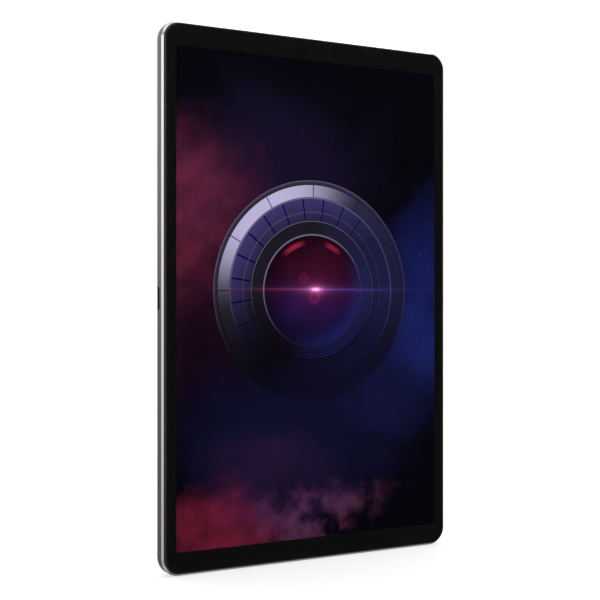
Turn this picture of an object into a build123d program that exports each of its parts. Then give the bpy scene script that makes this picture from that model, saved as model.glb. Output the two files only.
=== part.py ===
from build123d import *
import os

os.makedirs("parts", exist_ok=True)

# Small tablet computer, standing upright on its short edge. Millimetres, +Z up.
# X runs across the screen, Z along its long side and Y from the glass to the back.
# The origin is on the ground, under the middle of the body.
# "Depth" is the distance behind the glass face. Places across and up are measured
# from the middle of the body, and the depth is measured from the glass.

# ---------------------------------------------------------------- body
width = 129.46
height = 208.54
thickness = 7.7
corner_radius = 7.1
side_wall = 1.3
floor = 0.8
back_edge_radius = 2.4
rim_depth = 1.18
rim_width = 0.76
rim_chamfer = 0.7
ledge_width = 2.0
cut_over = 1.0
round_margin = 0.01

# ---------------------------------------------------------------- display stack
glass_gap = 0.12
glass_thick = 0.8
glass_edge = 0.55
glass_corner_radius = 6.3
border_side = 4.62
border_top = 8.55
border_bottom = 8.05
active_corner_radius = 1.5
film_thick = 0.1
film_inset = 0.2
cell_thick = 0.9
cell_margin = 1.1
cell_ledge = 3.2
bond_ledge = 1.5
guide_thick = 0.5
guide_inset = 0.5
pan_thick = 0.2
pan_wall = 0.3
foam_thick = 0.2
foam_width = 3.0
foam_inset = 1.0
frame_thick = 0.5
frame_gap = 0.15
carrier_gap = 0.3
carrier_inset = 0.05

# ---------------------------------------------------------------- ports and slots
port_depth = 5.05
port_length = 8.94
port_height = 3.16
port_metal = 0.3
port_reach = 7.4
port_gap = 0.05
port_slot_length = 9.0
port_slot_height = 3.0
tongue_length = 6.7
tongue_thick = 0.7
tongue_recess = 1.1
tongue_base = 2.2
port_foot = 1.5
foot_reach = 2.0
tongue_fit = 0.1
wall_cut = 0.5
sound_hole = 1.5
sound_pitch = 3.2
sound_holes = 7
sound_depth = 4.6
mic_hole = 1.0

# ---------------------------------------------------------------- boards
board_thick = 0.8
board_edge = 4.6
main_board_drop = 47.0
main_board_step = 25.0
camera_zone_drop = 33.0
tower_left = -8.0
tower_right = 22.0
tower_gap = 1.6
leg_width = 12.8
leg_end = -8.0
sub_board_gap = 3.6
sub_board_rise = 23.5
sub_board_edge = 4.4
notch_gap = 0.15
can_wall = 0.15
can_height = 20.0
can_rise = 1.2
can_split = (-15.0, -13.0)
can_right = 17.0
chip_gap = 0.1
# chips under the cans: left edge, right edge, height
processor = (-41.0, -28.0, 13.0)
memory = (-26.0, -17.0, 11.0)
power_chip = (-10.0, -4.0, 6.0)
radio_chip = (0.0, 7.0, 7.0)
audio_chip = (10.0, 14.0, 4.0)
pad_inset = 0.5
vapour_thick = 0.3
vapour_over = 3.0
vapour_corner = 2.0
connector_tall = 0.8
battery_plug = (10.0, 3.0)
battery_plug_rise = 5.0
battery_plug_inset = 12.0
camera_plug = (6.5, 2.4)
camera_plug_drop = 3.0
camera_plug_shift = -1.75
link_width = 3.0
link_inset = 3.0
link_drop = 1.7
link_plug = 6.0
link_plug_inset = 1.0
display_plug = 2.8
display_plug_drop = 1.2
ribbon_thick = 0.15
flex_x = 4.0
flex_width = 11.0
flex_slot_drop = 2.0
flex_slot_room = 1.0
flex_bond = 0.2
flex_reach = 3.8
battery_ribbon = 8.0
battery_ribbon_reach = 0.6
battery_ribbon_lap = 1.4
ribbon_step = 0.4
camera_ribbon = 3.0
camera_ribbon_shift = 1.8
camera_ribbon_step = 1.0

# ---------------------------------------------------------------- battery
battery_gap = 0.2
battery_side_gap = 1.2
battery_edge_gap = 0.5
battery_corner = 1.2
battery_tape = 0.1
tape_width = 8.0
tape_inset = 6.0
tape_end = 4.0
battery_split = 1.0
guard_height = 3.8
guard_thick = 1.2
guard_frame_gap = 0.8

# ---------------------------------------------------------------- screws
boss_diameter = 3.4
boss_inset = 2.43
pilot_diameter = 1.2
pilot_floor = 0.25
left_boss_drops = (26.0, 70.0)
motor_boss_gap = 6.0
right_boss_drops = (7.0, 62.0)
tray_boss_rise = 22.0
top_boss_gap = 2.6
tower_boss_gap = 2.8
bottom_boss_gap = 1.8
bottom_boss_x = 28.0
screw_clear = 0.05
frame_head = 2.4
frame_head_thick = 0.3
frame_head_clear = 0.1
board_head = 2.4
board_head_thick = 0.5
board_boss = 3.2
board_hole_clear = 0.1
post_inset = 2.6
post_drop = 3.0
tower_post_inset = 3.0
tower_post_drop = 12.0
right_post_inset = 22.0
right_post_rise = 5.0
leg_post_z = 14.0
sub_post_inset = 3.0
sub_post_drop = 9.0
sub_right_post_drop = 4.0

# ---------------------------------------------------------------- keys
key_ledge_gap = 0.1
key_height = 2.0
key_gap = 0.1
key_proud = 0.35
key_flange = 0.45
key_flange_reach = 1.2
key_edge = 0.25
power_drop = 50.0
power_length = 9.0
power_travel = 0.3
press_gap = 0.08
power_rest_gap = 0.05
volume_drop = 27.0
volume_length = 20.0
volume_rest_gap = 0.27
dome_offset = 6.5
nub_diameter = 1.2
nub_length = 0.35
volume_nub_length = 0.28
switch_length = 3.0
switch_height = 1.8
switch_thick = 0.75
key_flex_thick = 0.15
strip_below = 6.0
strip_above = 12.0
strip_front = 1.0
strip_back = 1.2
bracket_thick = 0.3

# ---------------------------------------------------------------- card tray
tray_rise = 15.0
tray_head_over = 1.6
tray_head_height = 2.2
tray_head_thick = 1.2
tray_gap = 0.1
tray_width = 13.2
tray_reach = 16.5
tray_frame_gap = 0.35
tray_thick = 0.9
card_width = 11.2
card_length = 14.8
card_pocket = 0.7
card_rim = 1.2
contact_window = 6.0
contact_rim = 1.0
eject_hole = 1.0
eject_inset = 1.4
socket_metal = 0.2
socket_gap = 0.12
socket_side = 1.0
socket_setback = 1.3
socket_end = 0.6
gasket_width = 0.4
gasket_groove = 0.3
gasket_proud = 0.05

# ---------------------------------------------------------------- cameras
island_width = 14.0
island_length = 40.0
island_proud = 1.2
island_gap = 0.1
island_flange = 1.2
island_flange_thick = 0.4
island_edge = 0.4
camera_inset = 13.4
main_camera_drop = 11.3
macro_camera_drop = 24.5
flash_drop = 36.2
main_window = 9.0
macro_window = 5.6
flash_window = 4.4
led_size = 2.8
window_thick = 0.5
window_ledge = 0.6
window_gap = 0.05
sensor_board_thick = 0.4
main_housing = 9.4
macro_housing = 6.4
barrel_diameter = 5.8
barrel_clear = 0.15
barrel_travel = 0.3
barrel_length = 3.9
barrel_seat_gap = 0.2
barrel_rim = 0.9
barrel_dish = 0.4
macro_lens = 3.6
barrel_stop_gap = 0.15
front_camera_drop = 4.9
front_lens = 3.4
front_housing = 5.4
front_lens_set = 0.15
front_lens_rim = 0.7
front_lens_dish = 0.4
front_lens_drop = 0.1
front_hole_gap = 0.3
film_lens_hole = 2.8
sensor_offset = 7.0
pipe_diameter = 1.8
pipe_hole_gap = 0.2
sensor_width = 2.4
sensor_length = 3.0

# ---------------------------------------------------------------- speakers and motor
speaker_thick_gap = 0.2
speaker_depth = 18.0
top_speaker_width = 30.0
bottom_speaker_width = 36.0
speaker_setback = 1.4
speaker_corner = 2.0
driver_margin = 3.0
driver_corner = 1.5
driver_depth = 2.4
driver_gap = 0.5
driver_lift = 1.0
magnet_corner = 1.2
duct_overlap = 0.5
mesh_thick = 0.3
mesh_over_x = 0.8
mesh_over_y = 0.3
mic_width = 3.6
mic_length = 2.6
top_mic_x = 14.0
bottom_mic_x = 13.0
corner_gap = 2.6
antenna_width = 4.6
antenna_length = 15.0
antenna_gap = 0.8
antenna_corner = 1.0
motor_width = 7.6
motor_length = 24.0
motor_top = -22.0
motor_wall = 0.3
motor_lid = 0.3
mass_gap = 0.35
mass_end_gap = 1.2

# ---------------------------------------------------------------- antenna window
window_left = -48.0
window_right = 34.0
window_rise = 9.0
window_front = 5.7
window_radius = 1.5
window_over = 4.0

# ---------------------------------------------------------------- worked-out places
half_width = width / 2
half_height = height / 2
inner_x = half_width - side_wall
inner_z = half_height - side_wall
inner_radius = corner_radius - side_wall

film_front = glass_thick
cell_front = film_front + film_thick
guide_front = cell_front + cell_thick
pan_front = guide_front + guide_thick
foam_front = pan_front + pan_thick
frame_front = foam_front + foam_thick
frame_back = frame_front + frame_thick
floor_front = thickness - floor
board_front = port_depth - board_thick / 2
board_back = port_depth + board_thick / 2
connector_front = board_front - connector_tall
key_depth = frame_back + key_ledge_gap + key_height / 2
tray_front = frame_back + tray_frame_gap
guard_front = frame_back + guard_frame_gap
ribbon_front = connector_front - ribbon_thick

recess_x = half_width - rim_width
recess_z = half_height - rim_width
recess_radius = corner_radius - rim_width
glass_x = recess_x - glass_gap
glass_z = recess_z - glass_gap
active_width = 2 * (glass_x - border_side)
active_height = 2 * glass_z - border_top - border_bottom
active_shift = (border_bottom - border_top) / 2
cell_x = active_width / 2 + cell_margin
cell_top = active_shift + active_height / 2 + cell_margin
cell_bottom = active_shift - active_height / 2 - cell_ledge
pan_bottom = cell_bottom + bond_ledge
frame_x = half_width - ledge_width - frame_gap
frame_z = half_height - ledge_width - frame_gap
frame_radius = corner_radius - ledge_width

board_x = inner_x - board_edge
top_board_low = inner_z - main_board_drop
top_board_high = top_board_low + main_board_step
camera_zone_low = inner_z - camera_zone_drop
tower_top = inner_z - tower_gap
leg_right = -board_x + leg_width
bottom_speaker_left = -inner_x + corner_gap
bottom_speaker_right = bottom_speaker_left + bottom_speaker_width
sub_board_left = bottom_speaker_right + sub_board_gap
sub_board_top = -inner_z + sub_board_rise
sub_board_low = -inner_z + sub_board_edge
battery_left = leg_right + battery_side_gap
battery_right = board_x - battery_edge_gap
battery_top = top_board_low - battery_side_gap
battery_low = sub_board_top + battery_side_gap
cell_top_edge = battery_top - guard_height
battery_front = frame_back + battery_gap
battery_back = floor_front - battery_tape

camera_x = inner_x - camera_inset
main_camera_z = inner_z - main_camera_drop
macro_camera_z = inner_z - macro_camera_drop
flash_z = inner_z - flash_drop
island_z = (main_camera_z + flash_z) / 2
island_top = thickness + island_proud
flange_front = floor_front - island_flange_thick
front_camera_z = glass_z - front_camera_drop
speaker_top = inner_z - speaker_setback
antenna_left = -inner_x + corner_gap
top_speaker_left = antenna_left + antenna_width + antenna_gap
top_speaker_right = top_speaker_left + top_speaker_width
speaker_front = frame_back + speaker_thick_gap
top_sound_x = (top_speaker_left + top_speaker_right) / 2
bottom_sound_x = (bottom_speaker_left + bottom_speaker_right) / 2
tray_z = -inner_z + tray_rise
tray_head_length = tray_width + 2 * tray_head_over
power_z = inner_z - power_drop
volume_z = inner_z - volume_drop
press_room = power_rest_gap + key_flange + nub_length + power_travel + press_gap
switch_face = inner_x - press_room
motor_left = -board_x
motor_right = motor_left + motor_width
motor_low = motor_top - motor_length

side_boss_x = inner_x - boss_inset
end_boss_z = inner_z - boss_inset
left_boss_heights = [inner_z - drop for drop in left_boss_drops]
left_boss_heights += [motor_low - motor_boss_gap]
right_boss_heights = [inner_z - drop for drop in right_boss_drops]
right_boss_heights += [0, tray_z + tray_boss_rise]
top_bosses = [top_speaker_right + top_boss_gap, tower_right + tower_boss_gap]
bottom_bosses = [bottom_speaker_right + bottom_boss_gap, bottom_boss_x]
side_bosses = [(-side_boss_x, v) for v in left_boss_heights]
side_bosses += [(side_boss_x, v) for v in right_boss_heights]
end_bosses = [(u, end_boss_z) for u in top_bosses]
end_bosses += [(u, -end_boss_z) for u in bottom_bosses]
frame_bosses = side_bosses + end_bosses
board_bosses = [
    (-board_x + post_inset, top_board_high - post_drop),
    (tower_right - tower_post_inset, inner_z - tower_post_drop),
    (board_x - right_post_inset, top_board_low + right_post_rise),
    (-board_x + post_inset, leg_post_z),
    (sub_board_left + sub_post_inset, sub_board_top - sub_post_drop),
    (board_x - right_post_inset, sub_board_top - sub_right_post_drop),
]


# ---------------------------------------------------------------- planes and simple shapes
def layer(depth):
    """Plane parallel to the glass at a depth; its x runs across and its y runs up."""
    middle = (0, depth - thickness / 2, half_height)
    return Plane(origin=middle, x_dir=(1, 0, 0), z_dir=(0, -1, 0))


def side(across):
    """Plane parallel to the long sides; its x is the depth and its y runs up."""
    corner = (across, -thickness / 2, half_height)
    return Plane(origin=corner, x_dir=(0, 1, 0), z_dir=(1, 0, 0))


def level(up):
    """Plane parallel to the short ends; its x runs across and its y is the depth."""
    corner = (0, -thickness / 2, half_height + up)
    return Plane(origin=corner, x_dir=(1, 0, 0), z_dir=(0, 0, 1))


def rounded(size, radius, front, back, at=(0, 0), mode=Mode.ADD):
    """Plate with rounded corners between two depths."""
    with BuildSketch(layer(front)) as outline:
        with Locations(at):
            RectangleRounded(size[0], size[1], radius)
    extrude(outline.sketch, amount=front - back, mode=mode)


def block(left, right, low, high, front, back, mode=Mode.ADD):
    """Box given by its edges across and up and by two depths."""
    with BuildSketch(layer(front)) as outline:
        with Locations(((left + right) / 2, (low + high) / 2)):
            Rectangle(right - left, high - low)
    extrude(outline.sketch, amount=front - back, mode=mode)


def posts(diameter, front, back, places, mode=Mode.ADD):
    """Round posts, or holes, square to the glass."""
    with BuildSketch(layer(front)) as outline:
        with Locations(*places):
            Circle(diameter / 2)
    extrude(outline.sketch, amount=front - back, mode=mode)


def side_slot(length, tall, depth, up, inner, outer, mode=Mode.ADD):
    """Slot-shaped bar along X between two places across."""
    with BuildSketch(side(inner)) as outline:
        with Locations((depth, up)):
            SlotOverall(length, tall, rotation=90)
    extrude(outline.sketch, amount=outer - inner, mode=mode)


def end_slot(length, tall, depth, across, inner, outer, mode=Mode.ADD):
    """Slot-shaped bar along Z between two places up."""
    with BuildSketch(level(inner)) as outline:
        with Locations((across, depth)):
            SlotOverall(length, tall)
    extrude(outline.sketch, amount=outer - inner, mode=mode)


def end_holes(diameter, depth, places, inner, outer, mode=Mode.SUBTRACT):
    """Round holes along Z through a short end."""
    with BuildSketch(level(inner)) as outline:
        with Locations(*[(across, depth) for across in places]):
            Circle(diameter / 2)
    extrude(outline.sketch, amount=outer - inner, mode=mode)


def sound_row(middle):
    """Places across of one row of sound holes."""
    first = middle - (sound_holes - 1) * sound_pitch / 2
    return [first + sound_pitch * number for number in range(sound_holes)]


def ribbon(middle, across, route):
    """Flat ribbon of square steps; the route is a list of (up, depth) points."""
    for (up_a, depth_a), (up_b, depth_b) in zip(route, route[1:]):
        low = min(up_a, up_b) - ribbon_thick / 2
        high = max(up_a, up_b) + ribbon_thick / 2
        front = min(depth_a, depth_b) - ribbon_thick / 2
        back = max(depth_a, depth_b) + ribbon_thick / 2
        block(middle - across / 2, middle + across / 2, low, high, front, back)


# ---------------------------------------------------------------- rear cover and antenna window
with BuildPart() as shell_blank:
    with BuildSketch(layer(rim_depth)):
        RectangleRounded(width, height, corner_radius)
    extrude(amount=rim_depth - thickness)
    fillet(shell_blank.edges().group_by(Axis.Y)[-1], back_edge_radius)
    chamfer(shell_blank.edges().group_by(Axis.Y)[0], rim_chamfer)
    rounded((2 * recess_x, 2 * recess_z), recess_radius, 0, frame_front, mode=Mode.SUBTRACT)
    ledge_size = (width - 2 * ledge_width, height - 2 * ledge_width)
    rounded(ledge_size, frame_radius, frame_front, frame_back, mode=Mode.SUBTRACT)
    rounded((2 * inner_x, 2 * inner_z), inner_radius, frame_back, floor_front, mode=Mode.SUBTRACT)

window_size = (window_right - window_left, window_rise + window_over)
window_at = ((window_left + window_right) / 2, half_height - window_rise + window_size[1] / 2)
window_back = thickness + cut_over

with BuildPart() as antenna_window:
    add(shell_blank.part)
    rounded(window_size, window_radius, window_front, window_back, window_at, Mode.INTERSECT)
antenna_window.part.label = "antenna_window"
export_step(antenna_window.part, "parts/antenna_window.step")

with BuildPart() as rear_cover:
    add(shell_blank.part)
    # posts for the support frame are joined to the walls, posts for the boards stand free
    for across, up in side_bosses:
        wall = half_width - side_wall / 2
        left, right = sorted((across, wall if across > 0 else -wall))
        block(left, right, up - boss_diameter / 2, up + boss_diameter / 2, frame_back, floor_front)
    for across, up in end_bosses:
        wall = half_height - side_wall / 2
        low, high = sorted((up, wall if up > 0 else -wall))
        across_low = across - boss_diameter / 2
        block(across_low, across_low + boss_diameter, low, high, frame_back, window_front)
    posts(boss_diameter, frame_back, floor_front, frame_bosses)
    posts(board_boss, board_back, floor_front, board_bosses)
    rounded(window_size, window_radius, window_front, window_back, window_at, Mode.SUBTRACT)
    posts(pilot_diameter, frame_back, window_front - pilot_floor, frame_bosses, Mode.SUBTRACT)
    posts(pilot_diameter, board_back, floor_front - pilot_floor, board_bosses, Mode.SUBTRACT)
    # openings in the long sides: port, two keys and the card tray
    side_slot(port_slot_length, port_slot_height, port_depth, 0,
              -half_width - cut_over, -inner_x + wall_cut, Mode.SUBTRACT)
    side_slot(power_length + 2 * key_gap, key_height + 2 * key_gap, key_depth, power_z,
              inner_x - round_margin, half_width + cut_over, Mode.SUBTRACT)
    side_slot(volume_length + 2 * key_gap, key_height + 2 * key_gap, key_depth, volume_z,
              inner_x - round_margin, half_width + cut_over, Mode.SUBTRACT)
    side_slot(tray_head_length + 2 * tray_gap, tray_head_height + 2 * tray_gap, key_depth, tray_z,
              inner_x - round_margin, half_width + cut_over, Mode.SUBTRACT)
    # openings in the short ends: port, sound holes and microphones
    end_slot(port_slot_length, port_slot_height, port_depth, 0,
             -half_height - cut_over, -inner_z + wall_cut, Mode.SUBTRACT)
    for end in (-1, 1):
        across = sound_row(top_sound_x if end > 0 else bottom_sound_x)
        mic_x = top_mic_x if end > 0 else bottom_mic_x
        low, high = sorted((end * (inner_z - wall_cut), end * (half_height + cut_over)))
        end_holes(sound_hole, sound_depth, across, low, high)
        end_holes(mic_hole, sound_depth, [mic_x], low, high)
    # seat of the camera island
    seat_size = (island_width + 2 * island_gap, island_length + 2 * island_gap)
    rounded(seat_size, seat_size[0] / 2 - round_margin, floor_front - island_flange_thick,
            window_back, (camera_x, island_z), Mode.SUBTRACT)
rear_cover.part.label = "rear_cover"
export_step(rear_cover.part, "parts/rear_cover.step")

# ---------------------------------------------------------------- display
with BuildPart() as cover_glass:
    rounded((2 * glass_x, 2 * glass_z), glass_corner_radius, 0, glass_thick)
    fillet(cover_glass.edges().group_by(Axis.Y)[0], glass_edge)
cover_glass.part.label = "cover_glass"
export_step(cover_glass.part, "parts/cover_glass.step")

film_size = (2 * (glass_x - film_inset), 2 * (glass_z - film_inset))
active_size = (active_width, active_height)
with BuildPart() as border_film:
    rounded(film_size, glass_corner_radius - film_inset, film_front, cell_front)
    rounded(active_size, active_corner_radius, film_front, cell_front, (0, active_shift),
            Mode.SUBTRACT)
    posts(film_lens_hole, film_front, cell_front, [(0, front_camera_z)], Mode.SUBTRACT)
    posts(pipe_diameter, film_front, cell_front, [(sensor_offset, front_camera_z)], Mode.SUBTRACT)
border_film.part.label = "border_film"
export_step(border_film.part, "parts/border_film.step")

with BuildPart() as optical_adhesive:
    rounded(active_size, active_corner_radius, film_front, cell_front, (0, active_shift))
optical_adhesive.part.label = "optical_adhesive"
export_step(optical_adhesive.part, "parts/optical_adhesive.step")

with BuildPart() as display_panel:
    block(-cell_x, cell_x, cell_bottom, cell_top, cell_front, guide_front)
display_panel.part.label = "display_panel"
export_step(display_panel.part, "parts/display_panel.step")

guide_x = cell_x - guide_inset
guide_low = pan_bottom + guide_inset
guide_high = cell_top - guide_inset
with BuildPart() as light_guide:
    block(-guide_x, guide_x, guide_low, guide_high, guide_front, pan_front)
light_guide.part.label = "light_guide"
export_step(light_guide.part, "parts/light_guide.step")

with BuildPart() as backlight_pan:
    block(-cell_x, cell_x, pan_bottom, cell_top, guide_front, foam_front)
    block(-cell_x + pan_wall, cell_x - pan_wall, pan_bottom + pan_wall, cell_top - pan_wall,
          guide_front, pan_front, Mode.SUBTRACT)
backlight_pan.part.label = "backlight_pan"
export_step(backlight_pan.part, "parts/backlight_pan.step")

carrier_x = glass_x - carrier_inset
carrier_z = glass_z - carrier_inset
with BuildPart() as display_carrier:
    rounded((2 * carrier_x, 2 * carrier_z), glass_corner_radius, cell_front, foam_front)
    block(-cell_x - carrier_gap, cell_x + carrier_gap, cell_bottom - 2 * carrier_gap,
          cell_top + carrier_gap, cell_front, foam_front, Mode.SUBTRACT)
    posts(front_lens + 2 * front_hole_gap, cell_front, foam_front, [(0, front_camera_z)],
          Mode.SUBTRACT)
    posts(pipe_diameter + 2 * pipe_hole_gap, cell_front, foam_front,
          [(sensor_offset, front_camera_z)], Mode.SUBTRACT)
display_carrier.part.label = "display_carrier"
export_step(display_carrier.part, "parts/display_carrier.step")

with BuildPart() as display_gasket:
    rounded((2 * carrier_x, 2 * carrier_z), glass_corner_radius, foam_front, frame_front)
    rounded(ledge_size, frame_radius, foam_front, frame_front, mode=Mode.SUBTRACT)
display_gasket.part.label = "display_gasket"
export_step(display_gasket.part, "parts/display_gasket.step")

with BuildPart() as panel_foam:
    for left in (-cell_x + foam_inset, cell_x - foam_inset - foam_width):
        block(left, left + foam_width, pan_bottom + foam_inset, cell_top - foam_inset,
              foam_front, frame_front)
panel_foam.part.label = "panel_foam"
export_step(panel_foam.part, "parts/panel_foam.step")

# ---------------------------------------------------------------- support frame
flex_slot_z = sub_board_top - flex_slot_drop
with BuildPart() as support_frame:
    rounded((2 * frame_x, 2 * frame_z), frame_radius - frame_gap, frame_front, frame_back)
    posts(frame_head + 2 * frame_head_clear, frame_front, frame_front + frame_head_thick,
          frame_bosses, Mode.SUBTRACT)
    posts(pilot_diameter + 2 * frame_head_clear, frame_front, frame_back, frame_bosses,
          Mode.SUBTRACT)
    hole = front_housing + front_hole_gap
    block(-hole / 2, hole / 2, front_camera_z - hole / 2, front_camera_z + hole / 2,
          frame_front, frame_back, Mode.SUBTRACT)
    posts(pipe_diameter + 2 * pipe_hole_gap, frame_front, frame_back,
          [(sensor_offset, front_camera_z)], Mode.SUBTRACT)
    slot_half = flex_width / 2 + flex_slot_room
    block(flex_x - slot_half, flex_x + slot_half, flex_slot_z - flex_slot_room,
          flex_slot_z + flex_slot_room, frame_front, frame_back, Mode.SUBTRACT)
support_frame.part.label = "support_frame"
export_step(support_frame.part, "parts/support_frame.step")

with BuildPart() as frame_screws:
    posts(frame_head, frame_front, frame_front + frame_head_thick, frame_bosses)
    posts(pilot_diameter - 2 * screw_clear, frame_front, window_front - 2 * pilot_floor,
          frame_bosses)
frame_screws.part.label = "frame_screws"
export_step(frame_screws.part, "parts/frame_screws.step")

# ---------------------------------------------------------------- main board
notch_half = port_length / 2 + notch_gap
notch_reach = -inner_x + port_gap + port_reach + notch_gap
board_outline = [
    (-board_x, top_board_high),
    (tower_left, top_board_high),
    (tower_left, tower_top),
    (tower_right, tower_top),
    (tower_right, camera_zone_low),
    (board_x, camera_zone_low),
    (board_x, top_board_low),
    (leg_right, top_board_low),
    (leg_right, leg_end),
    (-board_x, leg_end),
]
with BuildPart() as main_board:
    with BuildSketch(layer(board_front)):
        with BuildLine():
            Polyline(*board_outline, close=True)
        make_face()
    extrude(amount=-board_thick)
    block(-board_x - cut_over, notch_reach, -notch_half, notch_half, board_front, board_back,
          Mode.SUBTRACT)
    posts(pilot_diameter + 2 * board_hole_clear, board_front, board_back, board_bosses[:4],
          Mode.SUBTRACT)
main_board.part.label = "main_board"
export_step(main_board.part, "parts/main_board.step")

can_front = frame_back + vapour_thick
can_low = top_board_low + can_rise
can_high = can_low + can_height
cans = [(leg_right + link_plug_inset, can_split[0]), (can_split[1], can_right)]
with BuildPart() as shield_cans:
    for left, right in cans:
        block(left, right, can_low, can_high, can_front, board_front)
        block(left + can_wall, right - can_wall, can_low + can_wall, can_high - can_wall,
              can_front + can_wall, board_front, Mode.SUBTRACT)
shield_cans.part.label = "shield_cans"
export_step(shield_cans.part, "parts/shield_cans.step")

chip_front = can_front + can_wall + chip_gap
chip_z = (can_low + can_high) / 2
with BuildPart() as chips:
    for left, right, tall in (processor, memory, power_chip, radio_chip, audio_chip):
        block(left, right, chip_z - tall / 2, chip_z + tall / 2, chip_front, board_front)
chips.part.label = "chips"
export_step(chips.part, "parts/chips.step")

with BuildPart() as thermal_pad:
    half_pad = processor[2] / 2 - pad_inset
    block(processor[0] + pad_inset, processor[1] - pad_inset, chip_z - half_pad,
          chip_z + half_pad, can_front + can_wall, chip_front)
thermal_pad.part.label = "thermal_pad"
export_step(thermal_pad.part, "parts/thermal_pad.step")

with BuildPart() as vapour_plate:
    rounded((tower_right - leg_right + 2 * vapour_over, can_height), vapour_corner,
            frame_back, can_front, ((tower_right + leg_right) / 2, chip_z))
vapour_plate.part.label = "vapour_plate"
export_step(vapour_plate.part, "parts/vapour_plate.step")

battery_plug_x = board_x - battery_plug_inset
battery_plug_z = top_board_low + battery_plug_rise
camera_plug_x = camera_x + camera_plug_shift
camera_plug_z = camera_zone_low - camera_plug_drop
link_x = leg_right - link_inset
link_z = sub_board_top - link_drop
link_top = leg_end + link_plug_inset + link_plug
link_right = sub_board_left + link_plug_inset + link_plug
display_plug_z = flex_slot_z - display_plug_drop - display_plug / 2
plugs = [
    (battery_plug_x, battery_plug_z, battery_plug),
    (camera_plug_x, camera_plug_z, camera_plug),
    (link_x, link_top - link_plug / 2, (link_width, link_plug)),
    (link_right - link_plug / 2, link_z, (link_plug, link_width)),
    (flex_x, display_plug_z, (flex_width, display_plug)),
]
with BuildPart() as board_connectors:
    for across, up, size in plugs:
        block(across - size[0] / 2, across + size[0] / 2, up - size[1] / 2, up + size[1] / 2,
              connector_front, board_front)
board_connectors.part.label = "board_connectors"
export_step(board_connectors.part, "parts/board_connectors.step")

with BuildPart() as board_screws:
    posts(board_head, board_front - board_head_thick, board_front, board_bosses)
    posts(pilot_diameter - 2 * screw_clear, board_front, floor_front - 2 * pilot_floor,
          board_bosses)
board_screws.part.label = "board_screws"
export_step(board_screws.part, "parts/board_screws.step")

# ---------------------------------------------------------------- sub board
with BuildPart() as sub_board:
    block(sub_board_left, board_x, sub_board_low, sub_board_top, board_front, board_back)
    block(-notch_half, notch_half, sub_board_low - cut_over,
          -inner_z + port_gap + port_reach + notch_gap, board_front, board_back, Mode.SUBTRACT)
    posts(pilot_diameter + 2 * board_hole_clear, board_front, board_back, board_bosses[4:],
          Mode.SUBTRACT)
sub_board.part.label = "sub_board"
export_step(sub_board.part, "parts/sub_board.step")

# ---------------------------------------------------------------- ribbons
ribbon_mid = ribbon_front + ribbon_thick / 2
with BuildPart() as display_flex:
    bond = guide_front + ribbon_thick / 2
    under = foam_front + ribbon_thick / 2
    fold_z = cell_bottom + ribbon_thick
    ribbon(flex_x, flex_width, [(pan_bottom - flex_bond, bond), (fold_z, bond),
                                (fold_z, under), (flex_slot_z, under),
                                (flex_slot_z, ribbon_mid),
                                (flex_slot_z - flex_reach, ribbon_mid)])
display_flex.part.label = "display_flex"
export_step(display_flex.part, "parts/display_flex.step")

# ---------------------------------------------------------------- battery
battery_middle = (battery_left + battery_right) / 2
battery_halves = [
    (battery_left, battery_middle - battery_split / 2),
    (battery_middle + battery_split / 2, battery_right),
]
with BuildPart() as battery_cells:
    for left, right in battery_halves:
        size = (right - left, cell_top_edge - battery_low)
        middle = ((left + right) / 2, (cell_top_edge + battery_low) / 2)
        rounded(size, battery_corner, battery_front, battery_back, middle)
battery_cells.part.label = "battery_cells"
export_step(battery_cells.part, "parts/battery_cells.step")

with BuildPart() as battery_tapes:
    for left, right in battery_halves:
        for tape_x in (left + tape_inset, right - tape_inset - tape_width):
            block(tape_x, tape_x + tape_width, battery_low + tape_end,
                  cell_top_edge - tape_end, battery_back, floor_front)
battery_tapes.part.label = "battery_tapes"
export_step(battery_tapes.part, "parts/battery_tapes.step")

with BuildPart() as battery_guard:
    block(battery_left, battery_right, cell_top_edge, battery_top, guard_front,
          guard_front + guard_thick)
battery_guard.part.label = "battery_guard"
export_step(battery_guard.part, "parts/battery_guard.step")

# ---------------------------------------------------------------- charging ports
port_places = {
    "side_port": Plane(origin=(-inner_x + port_gap, port_depth - thickness / 2, half_height),
                       x_dir=(0, 0, 1), z_dir=(-1, 0, 0)),
    "bottom_port": Plane(origin=(0, port_depth - thickness / 2, side_wall + port_gap),
                         x_dir=(1, 0, 0), z_dir=(0, 0, -1)),
}
for port_name, mouth in port_places.items():
    # the feet lie on the face of the board that looks toward the glass
    toward_glass = -1 if mouth.y_dir.Y > 0 else 1
    inner_length = port_length - 2 * port_metal
    inner_height = port_height - 2 * port_metal
    back_plane = mouth.offset(-port_reach + port_metal)
    with BuildPart() as port_shell:
        with BuildSketch(mouth):
            SlotOverall(port_length, port_height)
        extrude(amount=-port_reach)
        with BuildSketch(mouth):
            SlotOverall(inner_length, inner_height)
        extrude(amount=-port_reach + port_metal, mode=Mode.SUBTRACT)
        foot_middle = port_length / 2 + port_foot / 2 - port_metal
        foot_low = board_thick / 2 + port_metal / 2
        with BuildSketch(back_plane):
            with Locations((foot_middle, toward_glass * foot_low),
                           (-foot_middle, toward_glass * foot_low)):
                Rectangle(port_foot, port_metal)
        extrude(amount=foot_reach)
    port_shell.part.label = port_name + "_shell"
    export_step(port_shell.part, "parts/" + port_name + "_shell.step")

    with BuildPart() as port_tongue:
        with BuildSketch(back_plane):
            SlotOverall(inner_length - tongue_fit, inner_height - tongue_fit)
        extrude(amount=tongue_base)
        with BuildSketch(back_plane):
            Rectangle(tongue_length, tongue_thick)
        extrude(amount=port_reach - port_metal - tongue_recess)
    port_tongue.part.label = port_name + "_tongue"
    export_step(port_tongue.part, "parts/" + port_name + "_tongue.step")

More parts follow.
